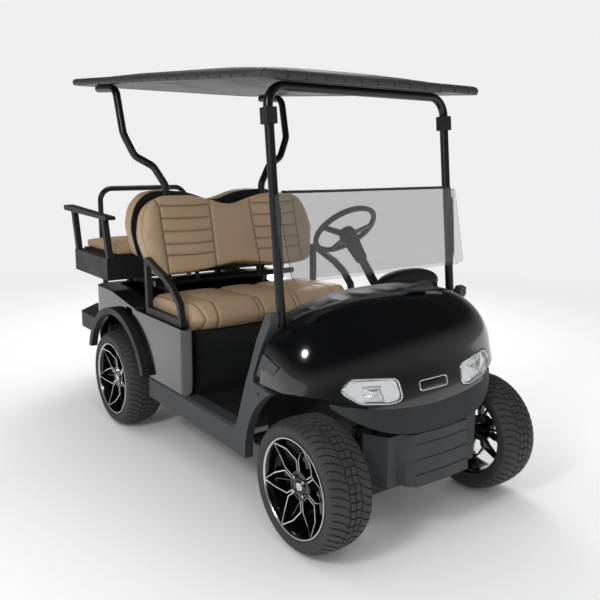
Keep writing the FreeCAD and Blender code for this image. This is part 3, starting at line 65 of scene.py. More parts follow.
def at(x, back, height):
    """Points in metres, from millimetres across, behind the front axle and above the ground."""
    places = np.broadcast_arrays(np.multiply(x, MM), along(back), np.multiply(height, MM))
    return np.stack(places, axis=-1)

# %% [markdown]
# ## Camera
# The photograph was taken from the front right corner, a little above the windshield, with a
# lens of about 43 mm. Heading, dip and roll are built into one turn, so that nothing is left to
# a constraint.

# %% Camera
EYE = (-2.0661, -3.1862, 1.5224)
HEADING = math.radians(36.574)
DIP = math.radians(11.718)
ROLL = math.radians(0.703)
LENS = 43.14
FILM = 36


def make_camera():
    """A camera whose axes come from heading, dip and roll."""
    ahead = Vector((math.sin(HEADING) * math.cos(DIP), math.cos(HEADING) * math.cos(DIP), -math.sin(DIP)))
    aside = Vector((math.cos(HEADING), -math.sin(HEADING), 0))
    up = aside.cross(ahead)
    across = aside * math.cos(ROLL) + up * math.sin(ROLL)
    upward = up * math.cos(ROLL) - aside * math.sin(ROLL)
    data = bpy.data.cameras.new("camera")
    data.lens = LENS
    data.sensor_width = FILM
    data.clip_start = 0.05
    data.clip_end = 100
    camera = bpy.data.objects.new("camera", data)
    bpy.context.scene.collection.objects.link(camera)
    turn = Matrix((across, upward, -ahead)).transposed().to_4x4()
    camera.matrix_world = Matrix.Translation(EYE) @ turn
    bpy.context.scene.camera = camera
    return camera


make_camera()
bpy.context.scene.view_settings.view_transform = "Standard"
print("camera at", EYE)

# %% [markdown]
# ## Shader helpers
# Colours are written as sRGB hex, as a paint chart gives them, and one function turns them into
# the linear values that the shader works in. One more function adds a node with its settings and
# its links, so that a material reads like a list of what it is made of.

# %% Shader helpers
NOISE_RANGE = (0.3, 0.7)


def linear(code):
    """Linear RGBA of an sRGB hex colour."""
    parts = np.array([int(code[i:i + 2], 16) for i in (1, 3, 5)]) / 255
    bright = ((parts + 0.055) / 1.055) ** 2.4
    return (*np.where(parts <= 0.04045, parts / 12.92, bright), 1.0)


def add(tree, kind, inputs=(), **settings):
    """Adds one shader node: settings are its properties, inputs its socket values or links."""
    made = tree.nodes.new("ShaderNode" + kind)
    for name, value in settings.items():
        setattr(made, name, value)
    for name, value in dict(inputs).items():
        if isinstance(value, bpy.types.NodeSocket):
            tree.links.new(value, made.inputs[name])
        else:
            made.inputs[name].default_value = value
    return made


def remap(tree, value, start, end=(0.0, 1.0), **settings):
    """Carries a value from one range of (low, high) to another."""
    return add(tree, "MapRange", {"Value": value, "From Min": start[0], "From Max": start[1],
                                  "To Min": end[0], "To Max": end[1]}, **settings).outputs["Result"]


def blend(tree, share, first, second):
    """Mixes two colours."""
    made = add(tree, "Mix", {"Factor": share, "A": first, "B": second}, data_type="RGBA")
    return made.outputs["Result"]


def finish(name, base, rough, ior=1.5, **sockets):
    """A material with the plain values of its shader set. Underscores stand for spaces."""
    material = bpy.data.materials.new(name)
    material.use_nodes = True
    shader = material.node_tree.nodes["Principled BSDF"]
    for socket, value in dict(sockets, Base_Color=linear(base), Roughness=rough, IOR=ior).items():
        shader.inputs[socket.replace("_", " ")].default_value = value
    return material


def object_point(tree):
    """Object coordinates in metres."""
    return add(tree, "TexCoord").outputs["Object"]


def grained(name, base, rough, size, depth, dull, shades=None, detail=3.0, spread=180.0, **sockets):
    """A finish with moulded grain: a bump of this size and depth in millimetres.

    dull gives the lowest and highest roughness of slow patches that are spread millimetres
    wide, and shades two colours that the same patches mix.
    """
    material = finish(name, base, rough, **sockets)
    tree = material.node_tree
    shader = tree.nodes["Principled BSDF"]
    point = object_point(tree)
    fine = add(tree, "TexNoise", {"Vector": point, "Scale": 1000 / size, "Detail": detail})
    bump = add(tree, "Bump", {"Height": fine.outputs["Fac"], "Distance": depth / 1000, "Strength": 1.0})
    slow = add(tree, "TexNoise", {"Vector": point, "Scale": 1000 / spread, "Detail": 4.0}).outputs["Fac"]
    tree.links.new(bump.outputs["Normal"], shader.inputs["Normal"])
    tree.links.new(remap(tree, slow, NOISE_RANGE, dull), shader.inputs["Roughness"])
    if shades:
        tree.links.new(blend(tree, slow, *map(linear, shades)), shader.inputs["Base Color"])
    return material


print("shader helpers ready")
# %% [markdown]
# ## Floor, backdrop and light
# A studio sweep is one pale ground that runs into a pale wall. Here the floor is matte near the
# cart, so that it takes the shadow, and turns into the plain background tone further out. The
# background tone shows only to camera, mirror and glass rays, and the light itself stays level.

# %% Floor, backdrop and light
BACKDROP = "#efeff0"
EASED = {"interpolation_type": "SMOOTHSTEP"}


def make_world(strength):
    """A soft even sky, the backdrop's tone for camera and glass, and a dark ceiling for mirrors.

    A mirror ray sees a pale wall near the horizon and a dark studio ceiling above it.
    """
    world = bpy.data.worlds.new("studio")
    bpy.context.scene.world = world
    world.use_nodes = True
    tree = world.node_tree
    tree.nodes.clear()
    path = add(tree, "LightPath").outputs
    seen = add(tree, "Math", {0: path["Is Camera Ray"], 1: path["Is Transmission Ray"]},
               operation="MAXIMUM")
    height = add(tree, "SeparateXYZ", {"Vector": add(tree, "TexCoord").outputs["Generated"]})
    fall = remap(tree, height.outputs["Z"], (0.02, 0.32), (0.26, 0.02), **EASED)
    soft, mirror, wall = (
        add(tree, "Background", {"Color": linear(code), "Strength": level}).outputs[0]
        for code, level in (("#ffffff", strength), ("#ffffff", fall), (BACKDROP, 1.0)))
    first = add(tree, "MixShader", {"Fac": path["Is Glossy Ray"], 1: soft, 2: mirror})
    both = add(tree, "MixShader", {"Fac": seen.outputs["Value"], 1: first.outputs[0], 2: wall})
    add(tree, "OutputWorld", {"Surface": both.outputs[0]})


def make_floor():
    """A wide plane that is matte paper near the cart and plain backdrop further out."""
    bpy.ops.mesh.primitive_plane_add(size=60)
    floor = bpy.context.object
    floor.name = "floor"
    material = bpy.data.materials.new("matte studio paper")
    material.use_nodes = True
    tree = material.node_tree
    tree.nodes.clear()
    reach = add(tree, "VectorMath", {0: object_point(tree)}, operation="LENGTH")
    share = remap(tree, reach.outputs["Value"], (2.6, 6.5), **EASED)
    paper = add(tree, "BsdfPrincipled", {"Base Color": linear("#f6f6f6"), "Roughness": 0.75,
                                         "Specular IOR Level": 0.15})
    tone = add(tree, "Emission", {"Color": linear(BACKDROP), "Strength": 1.0})
    mixed = add(tree, "MixShader", {"Fac": share, 1: paper.outputs[0], 2: tone.outputs[0]})
    add(tree, "OutputMaterial", {"Surface": mixed.outputs[0]})
    floor.data.materials.append(material)


def soft_box(name, place, target, size, power):
    """A round studio light that looks at a point."""
    data = bpy.data.lights.new(name, "AREA")
    data.shape = "DISK"
    data.size = size
    data.energy = power
    lamp = bpy.data.objects.new(name, data)
    bpy.context.scene.collection.objects.link(lamp)
    lamp.location = place
    lamp.rotation_mode = "QUATERNION"
    lamp.rotation_quaternion = (Vector(target) - Vector(place)).to_track_quat("-Z", "Y")


make_world(0.8)
make_floor()
soft_box("overhead", (0.6, 0.9, 4.6), (0, 0, 0.5), 2.6, 60)
soft_box("key", (-3.3, -1.9, 3.0), (0, -0.4, 0.7), 0.8, 46)
soft_box("rim_light", (2.8, 3.2, 2.6), (0, 0.3, 0.9), 1.6, 45)
print("studio ready")

# %% [markdown]
# ## Finishes
# Almost everything on the cart is black, so the finishes differ by gloss and grain and hardly by
# colour: mirror-smooth body paint, fine-grained plastic, charcoal plastic that has gone slightly
# grey, powder coat on the tubes, and soft rubber where hands and feet go.

# %% Plastics and paints
FINISH = {
    "gloss_black": grained("gloss acrylic body paint", "#07080a", 0.16, 2.4, 0.006, (0.12, 0.22),
                           detail=1.0, Coat_Weight=1.0, Coat_Roughness=0.06),
    "black_plastic": grained("grained black polypropylene", "#1a1b1d", 0.5, 1.4, 0.16, (0.42, 0.56),
                             ("#191a1c", "#212224"), ior=1.49),
    "grey_plastic": grained("grained charcoal polypropylene", "#34363a", 0.5, 1.4, 0.16, (0.42, 0.55),
                            ("#2d2f32", "#35373a"), ior=1.49),
    "sill_plastic": grained("scuffed grey polypropylene", "#3b3d40", 0.55, 1.6, 0.18, (0.45, 0.62),
                            ("#35373a", "#404245"), ior=1.49),
    "black_roof": grained("satin moulded roof skin", "#343436", 0.5, 3.0, 0.05, (0.45, 0.58),
                          ("#303032", "#3a3a3c"), ior=1.49),
    "liner_grey": grained("satin roof liner", "#1d1e20", 0.4, 2.5, 0.08, (0.35, 0.5), ior=1.49),
    "black_tube": grained("satin black powder coat", "#101113", 0.32, 1.0, 0.05, (0.27, 0.38),
                          detail=2.0, ior=1.52),
    "black_steel": grained("matt chassis paint", "#17181a", 0.6, 2.2, 0.12, (0.5, 0.7),
                           ("#141516", "#202122")),
    "battery_case": grained("moulded battery case", "#24262a", 0.5, 1.5, 0.1, (0.45, 0.6), ior=1.49),
    "soft_black": grained("self-skinned soft grip", "#1b1c1e", 0.48, 1.1, 0.12, (0.42, 0.54)),
}
print("plastics and paints", len(FINISH))

# %% Metals, rubber and clear plastic
FINISH.update({
    "machined": grained("machined bright alloy", "#d9dbde", 0.2, 0.8, 0.01, (0.16, 0.26), Metallic=1.0),
    "bright_steel": grained("zinc plated steel", "#a9acb0", 0.35, 1.5, 0.02, (0.28, 0.42), Metallic=1.0),
    "cast_iron": grained("painted casting", "#26282b", 0.6, 1.8, 0.2, (0.5, 0.7), ("#1f2123", "#303235")),
    "rim_black": grained("gloss black wheel enamel", "#08090a", 0.12, 1.5, 0.01, (0.1, 0.16),
                         Coat_Weight=0.6, Coat_Roughness=0.06),
    "spring_steel": grained("painted spring wire", "#141516", 0.4, 1.2, 0.04, (0.35, 0.5)),
    "lamp_chrome": grained("vacuum metallised reflector", "#f2f2f3", 0.12, 6.0, 0.05, (0.08, 0.18),
                           Metallic=0.8),
    "tyre_rubber": grained("vulcanised tyre rubber", "#303030", 0.66, 1.2, 0.1, (0.56, 0.74),
                           ("#2e2e2e", "#3c3b3a"), spread=60, ior=1.52),
    "mat_rubber": grained("ribbed floor rubber", "#191a1c", 0.6, 2.0, 0.15, (0.5, 0.68), ior=1.52),
    "tinted_pane": finish("smoke tinted acrylic", "#e3e3e3", 0.02, 1.49, Transmission_Weight=1.0),
    "clear_lens": finish("clear lamp acrylic", "#f7f8f8", 0.02, 1.49, Transmission_Weight=1.0),
})
ribs = FINISH["mat_rubber"].node_tree
wave = add(ribs, "TexWave", {"Vector": object_point(ribs), "Scale": 14.0})
relief = add(ribs, "Bump", {"Height": wave.outputs["Fac"], "Distance": 0.0015, "Strength": 0.9,
                            "Normal": ribs.nodes["Bump"].outputs["Normal"]})
ribs.links.new(relief.outputs["Normal"], ribs.nodes["Principled BSDF"].inputs["Normal"])
print("metals, rubber and clear plastic bring the finishes to", len(FINISH))

# %% [markdown]
# ## Upholstery
# The seats are covered in a marine vinyl: a PVC skin on knitted cloth, embossed with a leather
# grain of about a millimetre, softly shiny and tan. Painted shade darkens it along the seams and
# piping, where the panels turn away.
# Voronoi cells give the pebbles of the grain.

# %% Vinyl


def make_vinyl():
    """Tan vinyl: pebbled grain from cell edges, two slow shades, a soft sheen and painted shade along the
    seams.
    """
    material = finish("embossed marine vinyl", "#b3987a", 0.42)
    tree = material.node_tree
    point = object_point(tree)
    cells = add(tree, "TexVoronoi", {"Vector": point, "Scale": 1000 / 2.2}, feature="DISTANCE_TO_EDGE")
    pebbles = remap(tree, cells.outputs["Distance"], (0.0, 0.14))
    bump = add(tree, "Bump", {"Height": pebbles, "Distance": 0.00014, "Strength": 0.8})
    slow = add(tree, "TexNoise", {"Vector": point, "Scale": 6.0, "Detail": 5.0}).outputs["Fac"]
    tone = blend(tree, slow, linear("#a98e70"), linear("#b89d7f"))
    # Painted shade: the seam attribute darkens the tan towards dark brown along the seam and piping
    # grooves.
    seam = add(tree, "Attribute", attribute_name="seam")
    links = {"Normal": bump.outputs["Normal"],
             "Base Color": blend(tree, seam.outputs["Fac"], tone, linear("#4a3c2c")),
             "Roughness": remap(tree, slow, NOISE_RANGE, (0.36, 0.5))}
    for name, socket in links.items():
        tree.links.new(socket, tree.nodes["Principled BSDF"].inputs[name])
    return material


FINISH["tan_vinyl"] = make_vinyl()
print("vinyl ready")

# %% [markdown]
# ## Finishes on the carried parts
# The CAD parts that stay as they are take their finish by the record's slot, with a few that the
# photograph shows a little greyer than their neighbours.

# %% Give the CAD parts their finishes
GREYER = ("cowl_trim", "rockers", "front_guards")
for part in frame["record"]["subparts"]:
    node = nodes[part["node"]]
    chosen = FINISH["sill_plastic" if part["node"] in GREYER else part["material_slot"]]
    if not node.material_slots:
        node.data.materials.append(chosen)
    for holder in node.material_slots:
        holder.material = chosen
print("finishes on", len(nodes), "parts")

# %% [markdown]
# ## Surfaces from arrays
# Every new piece is a surface worked out with numpy: a grid of points whose rows and columns are
# two parameters. Rows and columns may close on themselves, and open ends get a cap.

# %% Mesh helpers


def sheet(points, wrap_u=False, wrap_v=False, flip=False, material=0, caps=False):
    """A grid (rows, columns, 3) as (vertices, faces, material of each face).

    wrap_u joins the last row to the first and wrap_v the last column to the first. caps closes
    the first and last row with one face each.
    """
    rows, columns = points.shape[:2]
    index = np.arange(rows * columns).reshape(rows, columns)
    if wrap_u:
        index = np.vstack([index, index[:1]])
    if wrap_v:
        index = np.hstack([index, index[:, :1]])
    quads = np.stack([index[:-1, :-1], index[:-1, 1:], index[1:, 1:], index[1:, :-1]], axis=-1)
    faces = quads.reshape(-1, 4).tolist()
    if caps:
        faces.append(list(range(columns))[::-1])
        faces.append(list(range((rows - 1) * columns, rows * columns)))
    if flip:
        faces = [face[::-1] for face in faces]
    return points.reshape(-1, 3), faces, [material] * len(faces)


def raw_object(name, parts):
    """A plain mesh object from several surfaces."""
    faces, start = [], 0
    for points, own, _ in parts:
        faces += [[i + start for i in face] for face in own]
        start += len(points)
    mesh = bpy.data.meshes.new(name)
    mesh.from_pydata(np.concatenate([part[0] for part in parts]).tolist(), [], faces)
    made = bpy.data.objects.new(name, mesh)
    bpy.context.scene.collection.objects.link(made)
    return made


def piece(name, parts, slot, replaces=(), body="cart_body", finishes=None, smooth=40.0):
    """One object from several surfaces, riding on a body, with its slot's finish or those named."""
    made = raw_object(name, parts)
    made.data.polygons.foreach_set("material_index", [kind for part in parts for kind in part[2]])
    for key in finishes or [slot]:
        made.data.materials.append(FINISH[key])
    made.data.validate()
    shade(made, smooth)
    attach(made, body)
    if replaces:
        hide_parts(*replaces)
    return made


def shade(made, angle):
    """Smooth shading, with an edge kept sharp where it turns by more than angle."""
    made.data.polygons.foreach_set("use_smooth", [True] * len(made.data.polygons))
    made.data.set_sharp_from_angle(angle=math.radians(angle))


def flipped(part):
    """A surface that faces the other way."""
    return part[0], [face[::-1] for face in part[1]], part[2]


def moved(part, shift=(0, 0, 0), mirror=False):
    """A copy of a surface, mirrored across the middle plane and then shifted."""
    points = part[0] * np.array([-1.0 if mirror else 1.0, 1, 1]) + np.array(shift, float)
    return (points, *(flipped(part) if mirror else part)[1:])


def lathe(profile, turns=96, material=0, closed=True):
    """A profile of (x, radius) in metres turned about the X axis."""
    profile = np.array(profile, float)
    angle = np.linspace(0, 2 * np.pi, turns, endpoint=False)[:, None]
    x = np.broadcast_to(profile[:, 0], (turns, len(profile)))
    points = np.stack([x, profile[:, 1] * np.cos(angle), profile[:, 1] * np.sin(angle)], axis=-1)
    return sheet(points, wrap_u=True, wrap_v=closed, material=material)


def curve_through(xs, ys, places):
    """Natural cubic spline through points, at new places."""
    xs, ys = np.array(xs, float), np.array(ys, float)
    h = np.diff(xs)
    size = len(xs)
    system = np.eye(size)
    for i in range(1, size - 1):
        system[i, i - 1:i + 2] = h[i - 1], 2 * (h[i - 1] + h[i]), h[i]
    slope = np.diff(ys) / h
    right = np.zeros(size)
    right[1:-1] = 6 * np.diff(slope)
    bend = np.linalg.solve(system, right)
    i = np.clip(np.searchsorted(xs, places) - 1, 0, size - 2)
    t, step = places - xs[i], h[i]
    value = ys[i] + t * (slope[i] - step * (2 * bend[i] + bend[i + 1]) / 6)
    return value + t ** 2 * bend[i] / 2 + t ** 3 * (bend[i + 1] - bend[i]) / (6 * step)


def bar(path, section, side, material=0, closed=False):
    """A section of (aside, ahead) points carried along a path of (n, 3) points.

    side is a direction that is never along the path.
    """
    if closed:
        way = np.roll(path, -1, 0) - np.roll(path, 1, 0)
    else:
        way = np.gradient(path, axis=0)
    way /= np.linalg.norm(way, axis=1, keepdims=True)
    aside = np.cross(way, side)
    aside /= np.linalg.norm(aside, axis=1, keepdims=True)
    upward = np.cross(aside, way)
    points = path[:, None] + aside[:, None] * section[:, :1] + upward[:, None] * section[:, 1:]
    return sheet(points, wrap_u=closed, wrap_v=True, material=material, caps=not closed, flip=True)


def ring(radius, sides):
    """A circle as a section."""
    angle = np.linspace(0, 2 * np.pi, sides, endpoint=False)
    return np.stack([radius * np.cos(angle), radius * np.sin(angle)], axis=-1)


def rounded(outline, rounding, steps=8):
    """An outline whose corners are quadratic curves through points that lie rounding from them."""
    outline = np.array(outline, float)
    before = np.roll(outline, 1, 0) - outline
    after = np.roll(outline, -1, 0) - outline
    first = np.linalg.norm(before, axis=1, keepdims=True)
    second = np.linalg.norm(after, axis=1, keepdims=True)
    start = outline + before / first * np.minimum(rounding, first * 0.49)
    end = outline + after / second * np.minimum(rounding, second * 0.49)
    t = np.linspace(0, 1, steps)[None, :, None]
    return (start[:, None] * (1 - t) ** 2 + 2 * outline[:, None] * t * (1 - t)
            + end[:, None] * t ** 2).reshape(-1, 2)


def prism(outline, axis, low, high, rounding=0.0):
    """An outline of two-number points in millimetres carried along x, y or z as a closed form."""
    outline = rounded(outline, rounding) if rounding else np.array(outline, float)
    order = {"x": (2, 0, 1), "y": (0, 2, 1), "z": (0, 1, 2)}[axis]
    ends = [np.insert(outline, 2, level, axis=1)[:, order] for level in (low, high)]
    return sheet(np.array([at(*end.T) for end in ends]), wrap_v=True, caps=True)


def change(made, kind, **settings):
    """Applies one modifier with these settings."""
    modifier = made.modifiers.new(kind, kind)
    for name, value in settings.items():
        setattr(modifier, name, value)
    bpy.context.view_layer.objects.active = made
    bpy.ops.object.modifier_apply(modifier=modifier.name)


def outward(made):
    """Merges doubles and points the faces outwards."""
    bpy.context.view_layer.objects.active = made
    made.select_set(True)
    bpy.ops.object.mode_set(mode="EDIT")
    bpy.ops.mesh.select_all(action="SELECT")
    bpy.ops.mesh.remove_doubles(threshold=1e-6)
    bpy.ops.mesh.normals_make_consistent(inside=False)
    bpy.ops.object.mode_set(mode="OBJECT")
    made.select_set(False)


print("mesh helpers ready")

# %% [markdown]
# ## Tyres
# A low street tyre for carts: round shoulders, swept sipes across the shoulder, and a middle band
# of small blocks between three wavy grooves. Making the grooves by cutting would cost a mesh of
# millions of faces. Here the rows and columns of the grid are laid along the grooves, so a few
# rows that step down are enough for crisp edges.

# %% Tyre surface
AXLE_HEIGHT = 265.0
TYRE_HALF = 101.0
TYRE_PROUD = 5.0
PITCHES = 52
GROOVE = 6.5
RING_GROOVES = (-27.0, 0.0, 27.0)


def tyre_rows():
    """Rows across the tyre as (x, radius, kind), with kind 1 for grooves round it.

    The side swells as a power curve from bead to widest point, and the crown falls from its
    middle as a superellipse.
    """
    tread = [52.0, 62.0, 72.0, 80.0, 87.0, 92.0, 96.0]
    inner = [12.0, 15.0, 40.0]
    xs = sorted([s * x for x in tread + inner for s in (-1, 1)])
    kinds = [0] * len(xs)
    for middle in RING_GROOVES:
        xs += [middle - 2.8, middle - 1.6, middle + 1.6, middle + 2.8]
        kinds += [0, 1, 1, 0]
    order = np.argsort(xs)
    xs = np.array(xs)[order]
    kinds = np.array(kinds)[order]
    crown = 228 + 36.6 * (1 - (np.abs(xs) / TYRE_HALF) ** 3.0) ** 0.5
    low = np.array([188.3, 194, 200, 205, 206.5, 209.5, 211, 218, 226, 234])
    bulge = np.array([0, 0, 0, 0, 1.1, 1.1, 0, 0, 0, 0])
    side = TYRE_HALF - 13.3 * ((np.maximum(235 - low, 0)) / 47) ** 1.7 + bulge - 1.2
    x = np.concatenate([-side, xs, side[::-1]])
    radius = np.concatenate([low, crown, low[::-1]])
    kind = np.concatenate([np.full(len(low), -1), kinds, np.full(len(low), -1)])
    return x, radius, kind


def tyre_mesh(hand):
    """A tyre about the X axis, centred on x = 0, with its sipes swept to one hand, 1 or -1.

    Each column is one angle. Columns follow the sipes, whose angle shifts across the tread as a
    sine, and the sipes' columns lie lower by the groove's depth where a sipe runs.
    """
    x, radius, kind = tyre_rows()
    share = np.array([0.0, 0.03, 0.19, 0.22, 0.58, 0.61])
    groove = np.array([0, 1, 1, 0, 0, 0])
    turn = (np.arange(PITCHES)[:, None] + share[None]).ravel() * 2 * np.pi / PITCHES
    groove = np.tile(groove, PITCHES)
    reach = np.clip((np.abs(x) - 20) / 74, 0, 1)
    sweep = hand * np.sign(x) * np.radians(8.5) * np.sin(np.pi / 2 * reach)
    wave = 2.6 * np.sin(turn[:, None] * PITCHES / 2 + 0.8) * (np.abs(x) < 45) * (kind >= 0)
    middle = np.abs(x) < 28
    shoulder = (np.abs(x) > 26) & (kind >= 0)
    fade = np.clip((radius - 236) / 16, 0, 1)
    down = np.where(kind == 1, GROOVE, 0.0)[None] * np.ones_like(turn)[:, None]
    wide = (groove[:, None] == 1) & (shoulder | (middle & (kind == 0)))[None]
    down = np.maximum(down, np.where(wide, GROOVE, 0.0) * fade[None])
    r = radius[None] - down
    across = x[None] + wave
    angle = turn[:, None] + sweep[None]
    points = np.stack([across, r * np.cos(angle), r * np.sin(angle)], axis=-1) * MM
    return sheet(points, wrap_u=True, wrap_v=True, flip=True)


# Corner: place behind the front axle, half track to the rim's face, mirrored
WHEELS = {"front_left": (0.0, 578.0, False), "front_right": (0.0, 578.0, True),
          "rear_left": (1669.0, 616.0, False), "rear_right": (1669.0, 616.0, True)}
casings = {False: tyre_mesh(1), True: tyre_mesh(-1)}
for corner, (back, face, mirror) in WHEELS.items():
    centre = face + TYRE_PROUD - TYRE_HALF
    place = at(-centre if mirror else centre, back, AXLE_HEIGHT)
    piece("tread_" + corner, [moved(casings[mirror], place, mirror)], "tyre_rubber", ["tyre_" + corner],
          body="wheel_" + corner, smooth=32)
print("tyre faces", len(casings[True][1]))

# %% [markdown]
# ## Rims
# A one-piece cast rim: six stems leave the hub in pairs of thin ribs, fork, bend once and run
# out to the lip. The casting is gloss black, and a lathe and a mill have cut the outer lip and
# the ribs' crests back to bright metal. Each rib is a bar with its crest as a face of its own,
# and the crest takes the bright finish.

# %% Rim surface
HUB_X = -41.0
STEMS = 6


def rib(path, width, depth, crest):
    """A rib with a bright crest, along a path of (x, across, out) points in millimetres.

    The section is a trapezium whose top edge is the crest. Points of the section are offset in
    the wheel's plane by the path's own normal.
    """
    path = np.array(path, float)
    way = np.gradient(path[:, 1:], axis=0)
    way /= np.linalg.norm(way, axis=1, keepdims=True)
    normal = np.stack([-way[:, 1], way[:, 0]], axis=-1)
    offsets = np.array([width, crest + 1.8, crest, -crest, -crest - 1.8, -width]) / -2
    heights = np.array([-depth, -1.2, 0, 0, -1.2, -depth])
    plane = path[:, None, 1:] + normal[:, None] * offsets[None, :, None]
    x = path[:, 0][:, None] + heights[None]
    points = np.stack([x, plane[..., 0], plane[..., 1]], axis=-1)
    rows, columns = points.shape[:2]
    vertices, faces, kinds = sheet(points, wrap_v=True, caps=True)
    bright = (np.arange((rows - 1) * columns) % columns) == 2
    kinds = np.concatenate([bright.astype(int), [0, 0]])
    return vertices * MM, faces, kinds.tolist()


def turned(part, angle):
    """A surface turned about the X axis."""
    points, faces, kinds = part
    c, s = math.cos(angle), math.sin(angle)
    y, z = points[:, 1], points[:, 2]
    return np.stack([points[:, 0], c * y - s * z, s * y + c * z], axis=-1), faces, kinds


def rim_parts():
    """Surfaces of one left rim, with the outer lip at x = 0 and the first stem along +Z."""
    black, bright = 0, 1
    lip = [(-0.0055, 0.1969), (-0.0006, 0.197), (0, 0.1963), (0, 0.1925), (-0.003, 0.1905),
           (-0.0045, 0.1895)]
    barrel = [(-0.0055, 0.1969), (-0.008, 0.1876), (-0.165, 0.1876), (-0.165, 0.1797), (-0.12, 0.1785),
              (-0.05, 0.179), (-0.024, 0.181), (-0.012, 0.1855), (-0.0045, 0.1895)]
    parts = [flipped(lathe(lip, 144, bright, closed=False)),
             flipped(lathe(barrel[::-1], 144, black, closed=False))]
    hub = [(6, 24), (6, 30), (1, 33), (1, 50), (4, 52), (4, 58.5), (0, 61), (-34, 61), (-34, 24)]
    cap = [(12.5, 0.5), (12, 9), (10.5, 16), (7, 19.5), (-4, 21), (-4, 0.5)]
    for profile, turns, kind in ((hub, 72, black), (cap, 48, bright)):
        parts.append(lathe((np.array(profile) + [HUB_X, 0]) * MM, turns, kind))
    nut = lathe([(0.012, 0.001), (0.012, 0.0065), (0.0, 0.0085), (0.0, 0.001)], 6, bright)
    for turn in np.radians([45, 135, 225, 315]):
        parts.append(moved(nut, (HUB_X * MM, 0.041 * math.cos(turn), 0.041 * math.sin(turn))))
    fork = [(3, 6.5, 50), (4, 6.5, 100), (5, 8, 104), (17, 46, 140), (19, 50, 143), (39.5, 91.5, 163)]
    fork = np.array(fork) + [HUB_X, 0, 0]
    web = np.array([(-9, 0, 55), (-8, 0, 90), (4, 0, 135), (22, 0, 181)]) + [HUB_X, 0, 0]
    for i in range(STEMS):
        angle = math.radians(60 * i - 10)
        for side in (-1, 1):
            parts.append(turned(rib(fork * [1, side, 1], 9.0, 22.0, 4.4), angle))
        parts.append(turned(rib(web[:2], 22.0, 16.0, 14.0), angle))
        points, faces, kinds = turned(rib(web - [12, 0, 0], 11.0, 16.0, 5.0), angle + math.radians(30))
        parts.append((points, faces, [black] * len(kinds)))
    return parts


wheel_parts = rim_parts()
for corner, (back, face, mirror) in WHEELS.items():
    place = at(-face if mirror else face, back, AXLE_HEIGHT)
    piece("cast_rim_" + corner, [moved(part, place, mirror) for part in wheel_parts], "rim_black",
          ["rim_" + corner], body="wheel_" + corner, finishes=["rim_black", "machined"], smooth=30)
print("rims ready")

# %% [markdown]
# ## Cowl
# The front of the cart is one deep moulding in gloss black. Across, it is a superellipse that
# stays flat over the hood and rolls down at the wheels. Lengthways, its radius about a line
# inside the nose follows a spline. The grid is dense enough for clean reflections, and openings
# for lamps, wheels, struts and trim are taken out with cutters that carry the real outlines.

# %% Cowl surface
PIVOT = (230.0, 520.0)
COWL_ANGLES = [-8, 4, 15, 27, 43, 60, 72, 84, 96, 108]
COWL_RADII = [412, 408, 404, 410, 450, 474, 470, 452, 428, 400]
COWL_HALF = 575.0
COWL_WALL = 8.0
LAMP = [(160, 582), (171, 674), (384, 696), (430, 642), (360, 590), (215, 571)]
GUARD_EDGE = [(454, 252), (454, 368), (430, 385), (352, 600), (332, 640), (272, 790), (206, 908),
              (176, 900), (176, 868), (235, 770), (296, 640), (300, 605), (166, 586), (100, 560),
              (100, 250)]
WHEEL_OPENING = 352.0
OPENING_MIDDLE = (10, 275)
STRUT_ASIDE = 485
STRUT_FOOT = (218.5, 939.0)
STRUT_LEAN = 0.1186


def cowl_roll(x, lift=0.0):
    """The share of its radius that the cowl keeps at places across, as a superellipse."""
    return (1 - np.clip(np.abs(x) / (COWL_HALF + lift), 0, 0.9999) ** 2) ** 0.225


def cowl_points(angles, xs, lift=0.0):
    """Points of the cowl at angles in degrees about the pivot and places across, in metres."""
    base = curve_through(COWL_ANGLES, COWL_RADII, angles) + lift
    radius = base[:, None] * cowl_roll(xs, lift)[None]
    turn = np.radians(angles)[:, None]
    return at(xs, PIVOT[0] - radius * np.cos(turn), PIVOT[1] + radius * np.sin(turn))


def carve(made, forms, operation="DIFFERENCE"):
    """Cuts each closed form from a piece, or keeps what they share."""
    for form in forms:
        cutter = raw_object("cutter", [form])
        outward(cutter)
        change(made, "BOOLEAN", operation=operation, object=cutter, solver="EXACT")
        bpy.data.objects.remove(cutter)


def make_cowl():
    """The shell between outer and inner skin, carved to its real edges."""
    angles = np.linspace(-8, 108, 120)
    xs = 574.4 * np.sin(np.linspace(-np.pi / 2, np.pi / 2, 150))
    skins = [cowl_points(angles, xs), cowl_points(angles, xs, -COWL_WALL)[:, ::-1]]
    shell = sheet(np.concatenate(skins, axis=1), wrap_v=True, caps=True, flip=True)
    made = piece("nose_cowl", [shell], "gloss_black", ["front_cowl"])
    outward(made)
    across = np.linspace(-620, 620, 41)
    rear_edge = np.stack([across, 34.7 + 115 * (across / 445) ** 2], axis=-1)
    low_edge = np.stack([across, 547 + 48 * (across / 460) ** 2], axis=-1)
    ahead = prism(np.vstack([rear_edge, [[620, -700], [-620, -700]]]), "z", 380, 1400)
    above = prism(np.vstack([low_edge, [[620, 1500], [-620, 1500]]]), "y", -700, 900)
    carve(made, [ahead, above], "INTERSECT")
    heights = np.linspace(600, 1300, 3)
    openings = []
    for side in (-1, 1):
        strut = at(side * STRUT_ASIDE, STRUT_FOOT[0] + (heights - STRUT_FOOT[1]) * STRUT_LEAN, heights)
        openings += [
            prism(ring(WHEEL_OPENING, 72) + OPENING_MIDDLE, "x", *sorted((side * 330, side * 700))),
            prism(np.array(LAMP) * [side, 1], "y", -400, 60, 24),
            prism(GUARD_EDGE, "x", *sorted((side * 440, side * 620))),
            bar(strut, ring(0.0195, 24), side=(1, 0, 0))]
    carve(made, openings)
    shade(made, 35)
    return made


cowl = make_cowl()
print("cowl faces", len(cowl.data.polygons))

